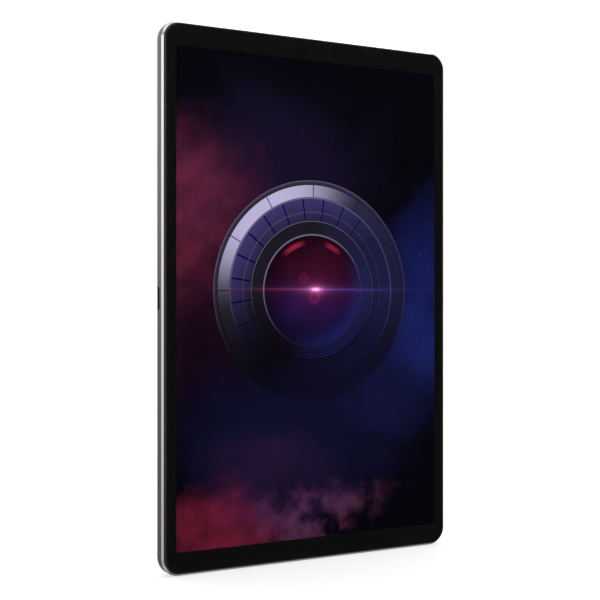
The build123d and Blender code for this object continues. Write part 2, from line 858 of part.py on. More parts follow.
# ---------------------------------------------------------------- keys
switch_back = switch_face - switch_thick
flex_back = switch_back - key_flex_thick
bracket_back = flex_back - bracket_thick
cap_outer = half_width + key_proud
with BuildPart() as power_key:
    flange_outer = inner_x - power_rest_gap
    flange_inner = flange_outer - key_flange
    side_slot(power_length, key_height, key_depth, power_z, flange_inner, cap_outer)
    fillet(power_key.edges().group_by(Axis.X)[-1], key_edge)
    power_flange = power_length + 2 * key_flange_reach
    block(flange_inner, flange_outer, power_z - power_flange / 2, power_z + power_flange / 2,
          key_depth - key_height / 2, key_depth + key_height / 2)
    with BuildSketch(side(flange_inner)) as power_nub:
        with Locations((key_depth, power_z)):
            Circle(nub_diameter / 2)
    extrude(power_nub.sketch, amount=-nub_length)
power_key.part.label = "power_key"
export_step(power_key.part, "parts/power_key.step")

with BuildPart() as volume_key:
    flange_outer = inner_x - volume_rest_gap
    flange_inner = flange_outer - key_flange
    side_slot(volume_length, key_height, key_depth, volume_z, flange_inner, cap_outer)
    fillet(volume_key.edges().group_by(Axis.X)[-1], key_edge)
    volume_flange = volume_length + 2 * key_flange_reach
    block(flange_inner, flange_outer, volume_z - volume_flange / 2, volume_z + volume_flange / 2,
          key_depth - key_height / 2, key_depth + key_height / 2)
    with BuildSketch(side(flange_inner)) as volume_nubs:
        with Locations((key_depth, volume_z - dome_offset), (key_depth, volume_z + dome_offset)):
            Circle(nub_diameter / 2)
    extrude(volume_nubs.sketch, amount=-volume_nub_length)
volume_key.part.label = "volume_key"
export_step(volume_key.part, "parts/volume_key.step")

switch_places = [power_z, volume_z - dome_offset, volume_z + dome_offset]
with BuildPart() as key_switches:
    for up in switch_places:
        block(switch_back, switch_face, up - switch_length / 2, up + switch_length / 2,
              key_depth - switch_height / 2, key_depth + switch_height / 2)
key_switches.part.label = "key_switches"
export_step(key_switches.part, "parts/key_switches.step")

strip_low = power_z - strip_below
strip_high = volume_z + strip_above
with BuildPart() as key_flex:
    block(flex_back, switch_back, strip_low, strip_high, key_depth - strip_front,
          key_depth + strip_back)
key_flex.part.label = "key_flex"
export_step(key_flex.part, "parts/key_flex.step")

with BuildPart() as key_bracket:
    block(bracket_back, flex_back, strip_low, strip_high, key_depth - strip_front,
          floor_front)
key_bracket.part.label = "key_bracket"
export_step(key_bracket.part, "parts/key_bracket.step")

# ---------------------------------------------------------------- card tray
tray_end = inner_x - tray_reach
head_inner = half_width - tray_head_thick
groove_low = head_inner + (tray_head_thick - gasket_width) / 2
with BuildPart() as card_tray:
    side_slot(tray_head_length, tray_head_height, key_depth, tray_z, head_inner, half_width)
    groove = (tray_head_length - 2 * gasket_groove, tray_head_height - 2 * gasket_groove)
    with BuildSketch(side(groove_low)) as groove_ring:
        with Locations((key_depth, tray_z)):
            SlotOverall(tray_head_length, tray_head_height, rotation=90)
            SlotOverall(groove[0], groove[1], rotation=90, mode=Mode.SUBTRACT)
    extrude(groove_ring.sketch, amount=gasket_width, mode=Mode.SUBTRACT)
    tray_back = tray_front + tray_thick
    block(tray_end, head_inner, tray_z - tray_width / 2, tray_z + tray_width / 2,
          tray_front, tray_back)
    pocket_end = head_inner - card_rim
    block(pocket_end - card_length, pocket_end, tray_z - card_width / 2, tray_z + card_width / 2,
          tray_front, tray_front + card_pocket, Mode.SUBTRACT)
    half_window = card_width / 2 - contact_rim
    block(pocket_end - card_length, pocket_end - card_length + contact_window,
          tray_z - half_window, tray_z + half_window, tray_front, tray_back, Mode.SUBTRACT)
    with BuildSketch(side(half_width)) as eject_bore:
        with Locations((key_depth, tray_z + tray_head_length / 2 - eject_inset)):
            Circle(eject_hole / 2)
    extrude(eject_bore.sketch, amount=-tray_head_thick, mode=Mode.SUBTRACT)
card_tray.part.label = "card_tray"
export_step(card_tray.part, "parts/card_tray.step")

with BuildPart() as tray_gasket:
    with BuildSketch(side(groove_low)):
        with Locations((key_depth, tray_z)):
            ring_outer = (tray_head_length + 2 * gasket_proud, tray_head_height + 2 * gasket_proud)
            SlotOverall(ring_outer[0], ring_outer[1], rotation=90)
            SlotOverall(groove[0], groove[1], rotation=90, mode=Mode.SUBTRACT)
    extrude(amount=gasket_width)
tray_gasket.part.label = "tray_gasket"
export_step(tray_gasket.part, "parts/tray_gasket.step")

socket_front = tray_front - socket_gap - socket_metal
socket_right = inner_x - socket_setback
socket_left = tray_end - socket_gap - socket_metal - socket_end
with BuildPart() as card_socket:
    half_mouth = tray_width / 2 + socket_gap
    half_socket = half_mouth + socket_side
    block(socket_left, socket_right, tray_z - half_socket, tray_z + half_socket,
          socket_front, board_front)
    block(socket_left + socket_metal, socket_right, tray_z - half_mouth, tray_z + half_mouth,
          tray_front - socket_gap, tray_front + tray_thick + socket_gap / 2, Mode.SUBTRACT)
card_socket.part.label = "card_socket"
export_step(card_socket.part, "parts/card_socket.step")

# ---------------------------------------------------------------- rear cameras
island_size = (island_width, island_length)
flange_size = (island_width + 2 * island_flange, island_length + 2 * island_flange)
island_at = (camera_x, island_z)
windows = [(main_camera_z, main_window), (macro_camera_z, macro_window), (flash_z, flash_window)]
window_front_depth = island_top - window_thick
with BuildPart() as camera_island:
    rounded(island_size, island_width / 2 - round_margin, floor_front, island_top, island_at)
    fillet(camera_island.edges().group_by(Axis.Y)[-1], island_edge)
    rounded(flange_size, flange_size[0] / 2 - round_margin, flange_front, floor_front,
            island_at)
    for up, diameter in windows:
        posts(diameter - 2 * window_ledge, flange_front, island_top, [(camera_x, up)],
              Mode.SUBTRACT)
        posts(diameter + 2 * window_gap, window_front_depth, island_top, [(camera_x, up)],
              Mode.SUBTRACT)
camera_island.part.label = "camera_island"
export_step(camera_island.part, "parts/camera_island.step")

with BuildPart() as camera_windows:
    for up, diameter in windows[:2]:
        posts(diameter, window_front_depth, island_top, [(camera_x, up)])
camera_windows.part.label = "camera_windows"
export_step(camera_windows.part, "parts/camera_windows.step")

with BuildPart() as flash_diffuser:
    posts(flash_window, window_front_depth, island_top, [(camera_x, flash_z)])
flash_diffuser.part.label = "flash_diffuser"
export_step(flash_diffuser.part, "parts/flash_diffuser.step")

with BuildPart() as flash_led:
    half_led = led_size / 2
    block(camera_x - half_led, camera_x + half_led, flash_z - half_led, flash_z + half_led,
          board_back, flange_front)
flash_led.part.label = "flash_led"
export_step(flash_led.part, "parts/flash_led.step")

module_front = frame_back + sensor_board_thick
half_main = main_housing / 2
half_macro = macro_housing / 2
with BuildPart() as camera_boards:
    block(camera_x - half_main, camera_x + half_main, main_camera_z - half_main,
          main_camera_z + half_main, frame_back, module_front)
    block(camera_x - half_macro, camera_x + half_macro, macro_camera_z - half_macro,
          macro_camera_z + half_macro, frame_back, module_front)
camera_boards.part.label = "camera_boards"
export_step(camera_boards.part, "parts/camera_boards.step")

barrel_bore = barrel_diameter + 2 * barrel_clear
barrel_back = window_front_depth - barrel_travel - barrel_stop_gap
barrel_front = barrel_back - barrel_length
with BuildPart() as main_camera_housing:
    block(camera_x - half_main, camera_x + half_main, main_camera_z - half_main,
          main_camera_z + half_main, module_front, flange_front)
    posts(barrel_bore, barrel_front - barrel_seat_gap, flange_front,
          [(camera_x, main_camera_z)], Mode.SUBTRACT)
main_camera_housing.part.label = "main_camera_housing"
export_step(main_camera_housing.part, "parts/main_camera_housing.step")

with BuildPart() as focus_barrel:
    posts(barrel_diameter, barrel_front, barrel_back, [(camera_x, main_camera_z)])
    with BuildSketch(layer(barrel_back)) as lens_dish:
        with Locations((camera_x, main_camera_z)):
            Circle(barrel_diameter / 2 - barrel_rim)
    extrude(lens_dish.sketch, amount=barrel_dish, mode=Mode.SUBTRACT)
focus_barrel.part.label = "focus_barrel"
export_step(focus_barrel.part, "parts/focus_barrel.step")

with BuildPart() as macro_camera:
    block(camera_x - half_macro, camera_x + half_macro, macro_camera_z - half_macro,
          macro_camera_z + half_macro, module_front, flange_front)
    posts(macro_lens, flange_front, barrel_back, [(camera_x, macro_camera_z)])
macro_camera.part.label = "macro_camera"
export_step(macro_camera.part, "parts/macro_camera.step")

# ribbons that plug into the boards: board to board, battery and rear cameras
with BuildPart() as board_flexes:
    half_link = link_width / 2
    block(link_x - half_link, link_x + half_link, link_z - half_link, link_top,
          ribbon_front, connector_front)
    block(link_x - half_link, link_right, link_z - half_link, link_z + half_link,
          ribbon_front, connector_front)
    step_z = battery_top + ribbon_step
    on_guard = guard_front - ribbon_thick / 2
    ribbon(battery_plug_x, battery_ribbon,
           [(battery_plug_z + battery_ribbon_lap, ribbon_mid), (step_z, ribbon_mid),
            (step_z, on_guard), (cell_top_edge + battery_ribbon_reach, on_guard)])
    on_frame = frame_back + ribbon_thick / 2
    macro_low = macro_camera_z - half_macro - ribbon_thick / 2
    turn_z = camera_zone_low - camera_ribbon_step
    ribbon(camera_x - camera_ribbon_shift, camera_ribbon,
           [(macro_low, on_frame), (turn_z, on_frame), (turn_z, ribbon_mid),
            (camera_plug_z - camera_ribbon_step, ribbon_mid)])
board_flexes.part.label = "board_flexes"
export_step(board_flexes.part, "parts/board_flexes.step")

# ---------------------------------------------------------------- front camera and light sensor
front_lens_front = cell_front + front_lens_set
dish_back = front_lens_front + front_lens_dish
dish_diameter = front_lens - 2 * front_lens_rim
with BuildPart() as front_camera:
    half_front = front_housing / 2
    block(-half_front, half_front, front_camera_z - half_front, front_camera_z + half_front,
          foam_front, board_front)
    posts(front_lens, front_lens_front, foam_front, [(0, front_camera_z)])
    posts(dish_diameter, front_lens_front, dish_back, [(0, front_camera_z)], Mode.SUBTRACT)
front_camera.part.label = "front_camera"
export_step(front_camera.part, "parts/front_camera.step")

with BuildPart() as front_camera_lens:
    posts(dish_diameter, front_lens_front + front_lens_drop, dish_back, [(0, front_camera_z)])
front_camera_lens.part.label = "front_camera_lens"
export_step(front_camera_lens.part, "parts/front_camera_lens.step")

sensor_at = [(sensor_offset, front_camera_z)]
with BuildPart() as light_pipe:
    posts(pipe_diameter, cell_front, connector_front, sensor_at)
light_pipe.part.label = "light_pipe"
export_step(light_pipe.part, "parts/light_pipe.step")

with BuildPart() as light_sensor:
    block(sensor_offset - sensor_width / 2, sensor_offset + sensor_width / 2,
          front_camera_z - sensor_length / 2, front_camera_z + sensor_length / 2,
          connector_front, board_front)
light_sensor.part.label = "light_sensor"
export_step(light_sensor.part, "parts/light_sensor.step")

# ---------------------------------------------------------------- speakers and microphones
speaker_rows = [
    ("top_speaker", top_speaker_left, top_speaker_right, 1),
    ("bottom_speaker", bottom_speaker_left, bottom_speaker_right, -1),
]
duct_front = sound_depth - sound_hole / 2
duct_back = sound_depth + sound_hole / 2
for speaker_name, left, right, end in speaker_rows:
    outer = end * speaker_top
    inner = end * (speaker_top - speaker_depth)
    middle = ((left + right) / 2, (outer + inner) / 2)
    pocket = (right - left - 2 * driver_margin, speaker_depth - 2 * driver_margin)
    half_row = (sound_holes - 1) * sound_pitch / 2 + sound_hole / 2
    with BuildPart() as speaker_box:
        rounded((right - left, speaker_depth), speaker_corner, speaker_front, floor_front,
                middle)
        rounded(pocket, driver_corner, speaker_front, speaker_front + driver_depth, middle,
                Mode.SUBTRACT)
        low, high = sorted((outer, outer - end * (driver_margin + duct_overlap)))
        block(middle[0] - half_row, middle[0] + half_row, low, high, duct_front, duct_back,
              Mode.SUBTRACT)
    speaker_box.part.label = speaker_name + "_box"
    export_step(speaker_box.part, "parts/" + speaker_name + "_box.step")

with BuildPart() as speaker_drivers:
    for speaker_name, left, right, end in speaker_rows:
        middle = ((left + right) / 2, end * (speaker_top - speaker_depth / 2))
        edge = driver_margin + driver_gap
        size = (right - left - 2 * edge, speaker_depth - 2 * edge)
        rounded(size, magnet_corner, speaker_front + driver_lift, speaker_front + driver_depth,
                middle)
speaker_drivers.part.label = "speaker_drivers"
export_step(speaker_drivers.part, "parts/speaker_drivers.step")

with BuildPart() as speaker_meshes:
    for speaker_name, left, right, end in speaker_rows:
        across = (left + right) / 2
        low, high = sorted((end * inner_z, end * (inner_z - mesh_thick)))
        half_mesh = half_row + mesh_over_x
        block(across - half_mesh, across + half_mesh, low, high, duct_front - mesh_over_y,
              duct_back + mesh_over_y)
speaker_meshes.part.label = "speaker_meshes"
export_step(speaker_meshes.part, "parts/speaker_meshes.step")

with BuildPart() as speaker_gaskets:
    for speaker_name, left, right, end in speaker_rows:
        across = (left + right) / 2
        low, high = sorted((end * (inner_z - mesh_thick), end * speaker_top))
        half_mesh = half_row + mesh_over_x
        block(across - half_mesh, across + half_mesh, low, high, duct_front - mesh_over_y,
              duct_back + mesh_over_y)
        block(across - half_row, across + half_row, low, high, duct_front, duct_back,
              Mode.SUBTRACT)
speaker_gaskets.part.label = "speaker_gaskets"
export_step(speaker_gaskets.part, "parts/speaker_gaskets.step")

with BuildPart() as microphones:
    for across, low in ((top_mic_x, tower_top - mic_length), (bottom_mic_x, sub_board_low)):
        block(across - mic_width / 2, across + mic_width / 2, low, low + mic_length,
              connector_front, board_front)
microphones.part.label = "microphones"
export_step(microphones.part, "parts/microphones.step")

with BuildPart() as antenna_carrier:
    block(antenna_left, antenna_left + antenna_width, speaker_top - antenna_length, speaker_top,
          speaker_front, floor_front)
    fillet(antenna_carrier.edges().filter_by(Axis.Y), antenna_corner)
antenna_carrier.part.label = "antenna_carrier"
export_step(antenna_carrier.part, "parts/antenna_carrier.step")

# ---------------------------------------------------------------- haptic motor
with BuildPart() as motor_case:
    block(motor_left, motor_right, motor_low, motor_top, speaker_front + motor_lid, floor_front)
    block(motor_left + motor_wall, motor_right - motor_wall, motor_low + motor_wall,
          motor_top - motor_wall, speaker_front + motor_lid, floor_front - motor_wall,
          Mode.SUBTRACT)
motor_case.part.label = "motor_case"
export_step(motor_case.part, "parts/motor_case.step")

with BuildPart() as motor_cover:
    block(motor_left, motor_right, motor_low, motor_top, speaker_front,
          speaker_front + motor_lid)
motor_cover.part.label = "motor_cover"
export_step(motor_cover.part, "parts/motor_cover.step")

with BuildPart() as motor_mass:
    side_gap = motor_wall + mass_gap
    end_gap = motor_wall + mass_end_gap
    block(motor_left + side_gap, motor_right - side_gap, motor_low + end_gap, motor_top - end_gap,
          speaker_front + motor_lid + mass_gap, floor_front - motor_wall - mass_gap)
motor_mass.part.label = "motor_mass"
export_step(motor_mass.part, "parts/motor_mass.step")
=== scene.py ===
import math

import bmesh
import bpy
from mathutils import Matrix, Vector


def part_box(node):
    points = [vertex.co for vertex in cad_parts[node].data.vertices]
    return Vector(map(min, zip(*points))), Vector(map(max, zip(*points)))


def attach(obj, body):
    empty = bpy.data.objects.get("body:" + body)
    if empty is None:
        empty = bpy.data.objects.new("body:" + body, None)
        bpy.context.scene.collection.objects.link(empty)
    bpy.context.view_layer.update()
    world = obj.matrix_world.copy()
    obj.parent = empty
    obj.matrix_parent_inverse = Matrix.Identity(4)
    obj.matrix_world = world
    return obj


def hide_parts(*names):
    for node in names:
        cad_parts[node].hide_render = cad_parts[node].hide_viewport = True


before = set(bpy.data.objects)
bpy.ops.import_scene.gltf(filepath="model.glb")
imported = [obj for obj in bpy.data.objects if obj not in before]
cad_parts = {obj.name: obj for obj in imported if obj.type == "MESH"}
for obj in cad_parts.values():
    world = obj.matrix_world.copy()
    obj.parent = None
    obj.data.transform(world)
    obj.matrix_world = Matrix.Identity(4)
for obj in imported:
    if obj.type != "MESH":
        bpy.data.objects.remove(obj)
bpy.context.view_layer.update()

bl_info = {
    "name": "Tablet Computer",
    "version": (1, 0, 0),
    "blender": (4, 5, 0),
    "location": "View3D > Sidebar > Tablet",
    "description": "Builds the visible pieces and finishes of a small tablet computer",
    "category": "Object",
}

BODY = "device"
MM = 0.001
SHELL_LOW, SHELL_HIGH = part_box("rear_cover")
GLASS_LOW, GLASS_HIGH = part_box("cover_glass")
MIDDLE_Z = (SHELL_LOW.z + SHELL_HIGH.z) / 2
HALF_WIDTH = (SHELL_HIGH.x - SHELL_LOW.x) / 2
HALF_HEIGHT = (SHELL_HIGH.z - SHELL_LOW.z) / 2
FRONT_Y = GLASS_LOW.y


# ---------------------------------------------------------------- settings
def length(name, size, description):
    """Property for a length given in millimetres."""
    return bpy.props.FloatProperty(name=name, description=description, default=size * MM,
                                   subtype="DISTANCE", unit="LENGTH")


def colour_choice(name, colour, description):
    """Property for a colour."""
    return bpy.props.FloatVectorProperty(name=name, description=description, default=colour,
                                         subtype="COLOR", size=3, min=0, max=1)


class TabletShellSettings(bpy.types.PropertyGroup):
    """Sizes of the metal body and the glass"""

    corner_radius: length("Corner radius", 7.1, "Outer corner of the body seen from the front")
    back_radius: length("Back edge radius", 2.4, "Round edge between side wall and back")
    chamfer: length("Rim chamfer", 0.7, "Polished slope around the glass")
    rim_width: length("Rim width", 0.76, "From the outer face to the display recess")
    recess_depth: length("Recess depth", 2.7, "From the front of the glass to the ledge")
    ledge_width: length("Ledge width", 2.0, "From the outer face to the inner edge of the ledge")
    ledge_thick: length("Ledge thickness", 0.5, "Lip that the display rests on")
    side_wall: length("Side wall", 1.3, "Thickness of the side walls")
    floor: length("Back wall", 0.8, "Thickness of the back")
    glass_corner: length("Glass corner radius", 6.3, "Corner of the glass seen from the front")
    glass_slope: length("Glass edge width", 1.25, "Width of the curved border of the glass")
    glass_drop: length("Glass edge depth", 0.55, "Depth of the curved border of the glass")
    edge_break: length("Edge break", 0.10, "Tiny rounding on machined edges")


class TabletColourSettings(bpy.types.PropertyGroup):
    """Colours of the finishes"""

    metal: colour_choice("Body metal", (0.238, 0.236, 0.233), "Anodised colour of the body")
    bright_metal: colour_choice("Bright metal", (0.80, 0.79, 0.77), "Cut and polished rim")
    border: colour_choice("Border print", (0.027, 0.026, 0.026), "Black print behind the glass")
    screen_strength: bpy.props.FloatProperty(
        name="Screen strength", description="Brightness of the lit screen", default=1.0, min=0)


class TabletStageSettings(bpy.types.PropertyGroup):
    """Camera and studio"""

    focal_length: bpy.props.FloatProperty(
        name="Focal length", description="Camera lens on a 36 mm sensor", default=69.96)
    rise: bpy.props.FloatProperty(
        name="Rise", description="Vertical shift of the lens", default=0.0007)
    turn: bpy.props.FloatProperty(
        name="Turn", description="How far the camera is turned round the body",
        default=math.radians(29.4), subtype="ANGLE", unit="ROTATION")
    distance: length("Distance", 464.75, "Camera to the front of the glass, along the view")
    sideways: length("Sideways", 5.6, "How far the body stands right of the line of view")
    lens_height: length("Lens height", -0.8, "Camera height from the middle of the body")


# ---------------------------------------------------------------- shader graphs
def joining(operation, swapped=False):
    """Operator method that joins a value to another one, or to a number, with a Math node."""
    def method(self, other):
        first, second = (other, self) if swapped else (self, other)
        return self.math(operation, first, second)
    return method


class Value:
    """One output of a shader graph; arithmetic on it adds Math nodes."""

    def __init__(self, graph, socket):
        self.graph = graph
        self.socket = socket

    def math(self, operation, first, second=0.0):
        return self.graph.node("ShaderNodeMath", {"operation": operation}, {0: first, 1: second})

    __add__, __radd__ = joining("ADD"), joining("ADD", True)
    __sub__, __rsub__ = joining("SUBTRACT"), joining("SUBTRACT", True)
    __mul__, __rmul__ = joining("MULTIPLY"), joining("MULTIPLY", True)
    __truediv__, __rtruediv__ = joining("DIVIDE"), joining("DIVIDE", True)
    __pow__ = joining("POWER")

    def absolute(self):
        return self.math("ABSOLUTE", self)

    def clamped(self):
        settings = {"use_clamp": True, "operation": "ADD"}
        return self.graph.node("ShaderNodeMath", settings, {0: self, 1: 0.0})

    def fraction(self):
        return self.math("FRACT", self)

    def wave(self):
        """Distance from the middle of each unit step: 0 there and 0.5 between two steps."""
        return (self.fraction() - 0.5).absolute()

    def rise(self, low, high):
        """0 below low, 1 above high and a smooth step between; high may be the lower one."""
        values = {"Value": self, "From Min": min(low, high), "From Max": max(low, high)}
        if high < low:
            values.update({"To Min": 1.0, "To Max": 0.0})
        return self.graph.node("ShaderNodeMapRange", {"interpolation_type": "SMOOTHSTEP"}, values)


class Graph:
    """Node graph of one material, or of the world."""

    def __init__(self, name, world=None):
        self.material = world or bpy.data.materials.new(name)
        self.material.use_nodes = True
        self.tree = self.material.node_tree
        self.tree.nodes.clear()
        kind = "ShaderNodeOutputWorld" if world else "ShaderNodeOutputMaterial"
        self.output = self.tree.nodes.new(kind)

    def node(self, kind, settings=None, values=None, output=0):
        """Adds a node: settings first, then the values or links of its inputs."""
        made = self.tree.nodes.new(kind)
        for key, value in (settings or {}).items():
            setattr(made, key, value)
        for key, value in (values or {}).items():
            socket = made.inputs[key]
            if isinstance(value, Value):
                self.tree.links.new(value.socket, socket)
            else:
                socket.default_value = value
        return Value(self, made.outputs[output])

    def place(self):
        """Object coordinates: across, depth and up, in millimetres from the middle."""
        coordinates = self.node("ShaderNodeTexCoord", output="Object")
        return self.node("ShaderNodeMapping", {"vector_type": "POINT"}, {
            "Vector": coordinates, "Scale": (1 / MM, 1 / MM, 1 / MM),
            "Location": (0, 0, -MIDDLE_Z / MM)})

    def stretched(self, vector, scale):
        return self.node("ShaderNodeMapping", None, {"Vector": vector, "Scale": scale})

    def split(self, vector):
        parts = self.node("ShaderNodeSeparateXYZ", None, {"Vector": vector})
        outputs = parts.socket.node.outputs
        return [Value(self, outputs[axis]) for axis in range(3)]

    def noise(self, vector, scale, detail=2.0, rough=0.5, seed=0.0):
        values = {"Vector": vector, "Scale": scale, "Detail": detail, "Roughness": rough, "W": seed}
        return self.node("ShaderNodeTexNoise", {"noise_dimensions": "4D"}, values)

    def blend(self, factor, first, second):
        """Mix of two colours, which may be links or plain colours."""
        colours = {}
        for key, colour in ((6, first), (7, second)):
            colours[key] = colour if isinstance(colour, Value) else (*colour, 1.0)
        settings = {"data_type": "RGBA", "clamp_factor": True}
        return self.node("ShaderNodeMix", settings, {0: factor, **colours}, output=2)

    def tint(self, factor, colour):
        """A colour scaled by a value."""
        return self.node("ShaderNodeVectorMath", {"operation": "SCALE"},
                         {0: colour, "Scale": factor})

    def sum(self, *colours):
        total = colours[0]
        for colour in colours[1:]:
            total = self.node("ShaderNodeVectorMath", {"operation": "ADD"}, {0: total, 1: colour})
        return total

    def bump(self, height, strength, distance):
        return self.node("ShaderNodeBump", None,
                         {"Height": height, "Strength": strength, "Distance": distance})

    def surface(self, **values):
        """Principled surface; names are the socket names with underscores."""
        named = {key.replace("_", " "): value for key, value in values.items()}
        shader = self.node("ShaderNodeBsdfPrincipled", None, named)
        self.tree.links.new(shader.socket, self.output.inputs["Surface"])
        return self.material


def opaque(colour):
    """A colour with its alpha."""
    return (*colour, 1.0)


def shade(colour, factor):
    """A colour made darker or lighter."""
    return [min(1.0, channel * factor) for channel in colour]


def layered(name, dark, light, fine, broad, share, rough, relief, stretch=None, **more):
    """Finish from a fine and a broad noise, each with its scale, detail, roughness and seed.

    The share is the fine one's part in the colour. Rough holds the roughness and how far the
    two noises change it, and relief the strength and depth of the fine one's bump.
    """
    graph = Graph(name)
    place = graph.place()
    grain = graph.noise(graph.stretched(place, stretch) if stretch else place, *fine)
    cloud = graph.noise(place, *broad)
    middle, by_grain, by_cloud = rough
    strength, depth = relief
    return graph.surface(
        Base_Color=graph.blend(grain * share + cloud * (1 - share), dark, light),
        Roughness=(grain - 0.5) * by_grain + (cloud - 0.5) * by_cloud + middle,
        Normal=graph.bump(grain, strength, depth * MM), **more)


def grained(name, colour, rough, spread, grain, bump, **more):
    """Fine-grained finish: colour, roughness and relief vary at the scale of the grain."""
    return layered(name, shade(colour, 1 - spread), shade(colour, 1 + spread), (grain, 3.0),
                   (grain * 0.03, 2.0, 0.5, 3.0), 0.6, (rough, rough * 0.5, rough * 0.3),
                   (bump, 0.02), **more)


def anodised(name, colour, rough=0.36):
    """Bead-blasted and dyed aluminium: matt sparkle with faint handling marks."""
    return layered(name, shade(colour, 0.93), shade(colour, 1.07), (9.0, 2.0, 0.6),
                   (0.05, 3.0, 0.55, 2.0), 0.5, (rough, 0.10, 0.06), (0.10, 0.012), Metallic=1.0)


def stamped(name, colour, rough=0.32):
    """Rolled or plated sheet with a fine grain along its length."""
    return layered(name, shade(colour, 0.86), shade(colour, 1.10), (1.0, 3.0),
                   (0.12, 3.0, 0.5, 4.0), 0.5, (rough, 0.16, 0.12), (0.12, 0.02),
                   stretch=(6.0, 6.0, 0.3), Metallic=1.0)


def foil_pouch(name):
    """Dark laminated pouch of the battery cells, slightly wrinkled."""
    return layered(name, (0.035, 0.036, 0.040), (0.075, 0.076, 0.082), (0.16, 5.0, 0.6),
                   (3.0, 2.0, 0.5, 2.0), 0.5, (0.42, 0.2, 0.0), (0.35, 0.15), Metallic=0.4)


def polished(name, colour, rough=0.14):
    """Diamond-cut metal: bright, with tool marks running along the cut."""
    graph = Graph(name)
    marks = graph.noise(graph.stretched(graph.place(), (14, 14, 0.15)), 1.0, 2.0)
    return graph.surface(Base_Color=graph.blend(marks, shade(colour, 0.95), colour), Metallic=1.0,
                         Roughness=(marks - 0.5) * 0.08 + rough,
                         Normal=graph.bump(marks, 0.04, 0.005 * MM))


def moulded(name, colour, rough, bump=0.2):
    """Moulded plastic."""
    return grained(name, colour, rough, 0.12, 5.0, bump)


def clear_glass(name):
    """Cover glass with a trace of finger marks in its gloss."""
    graph = Graph(name)
    place = graph.place()
    smudge = graph.noise(place, 0.06, 4.0, 0.6)
    fine = graph.noise(place, 1.4, 2.0, seed=4.0)
    roughness = smudge.rise(0.52, 0.75) * 0.018 + fine * 0.006
    return graph.surface(Base_Color=opaque((1, 1, 1)), Roughness=roughness, IOR=1.5,
                         Transmission_Weight=1.0)


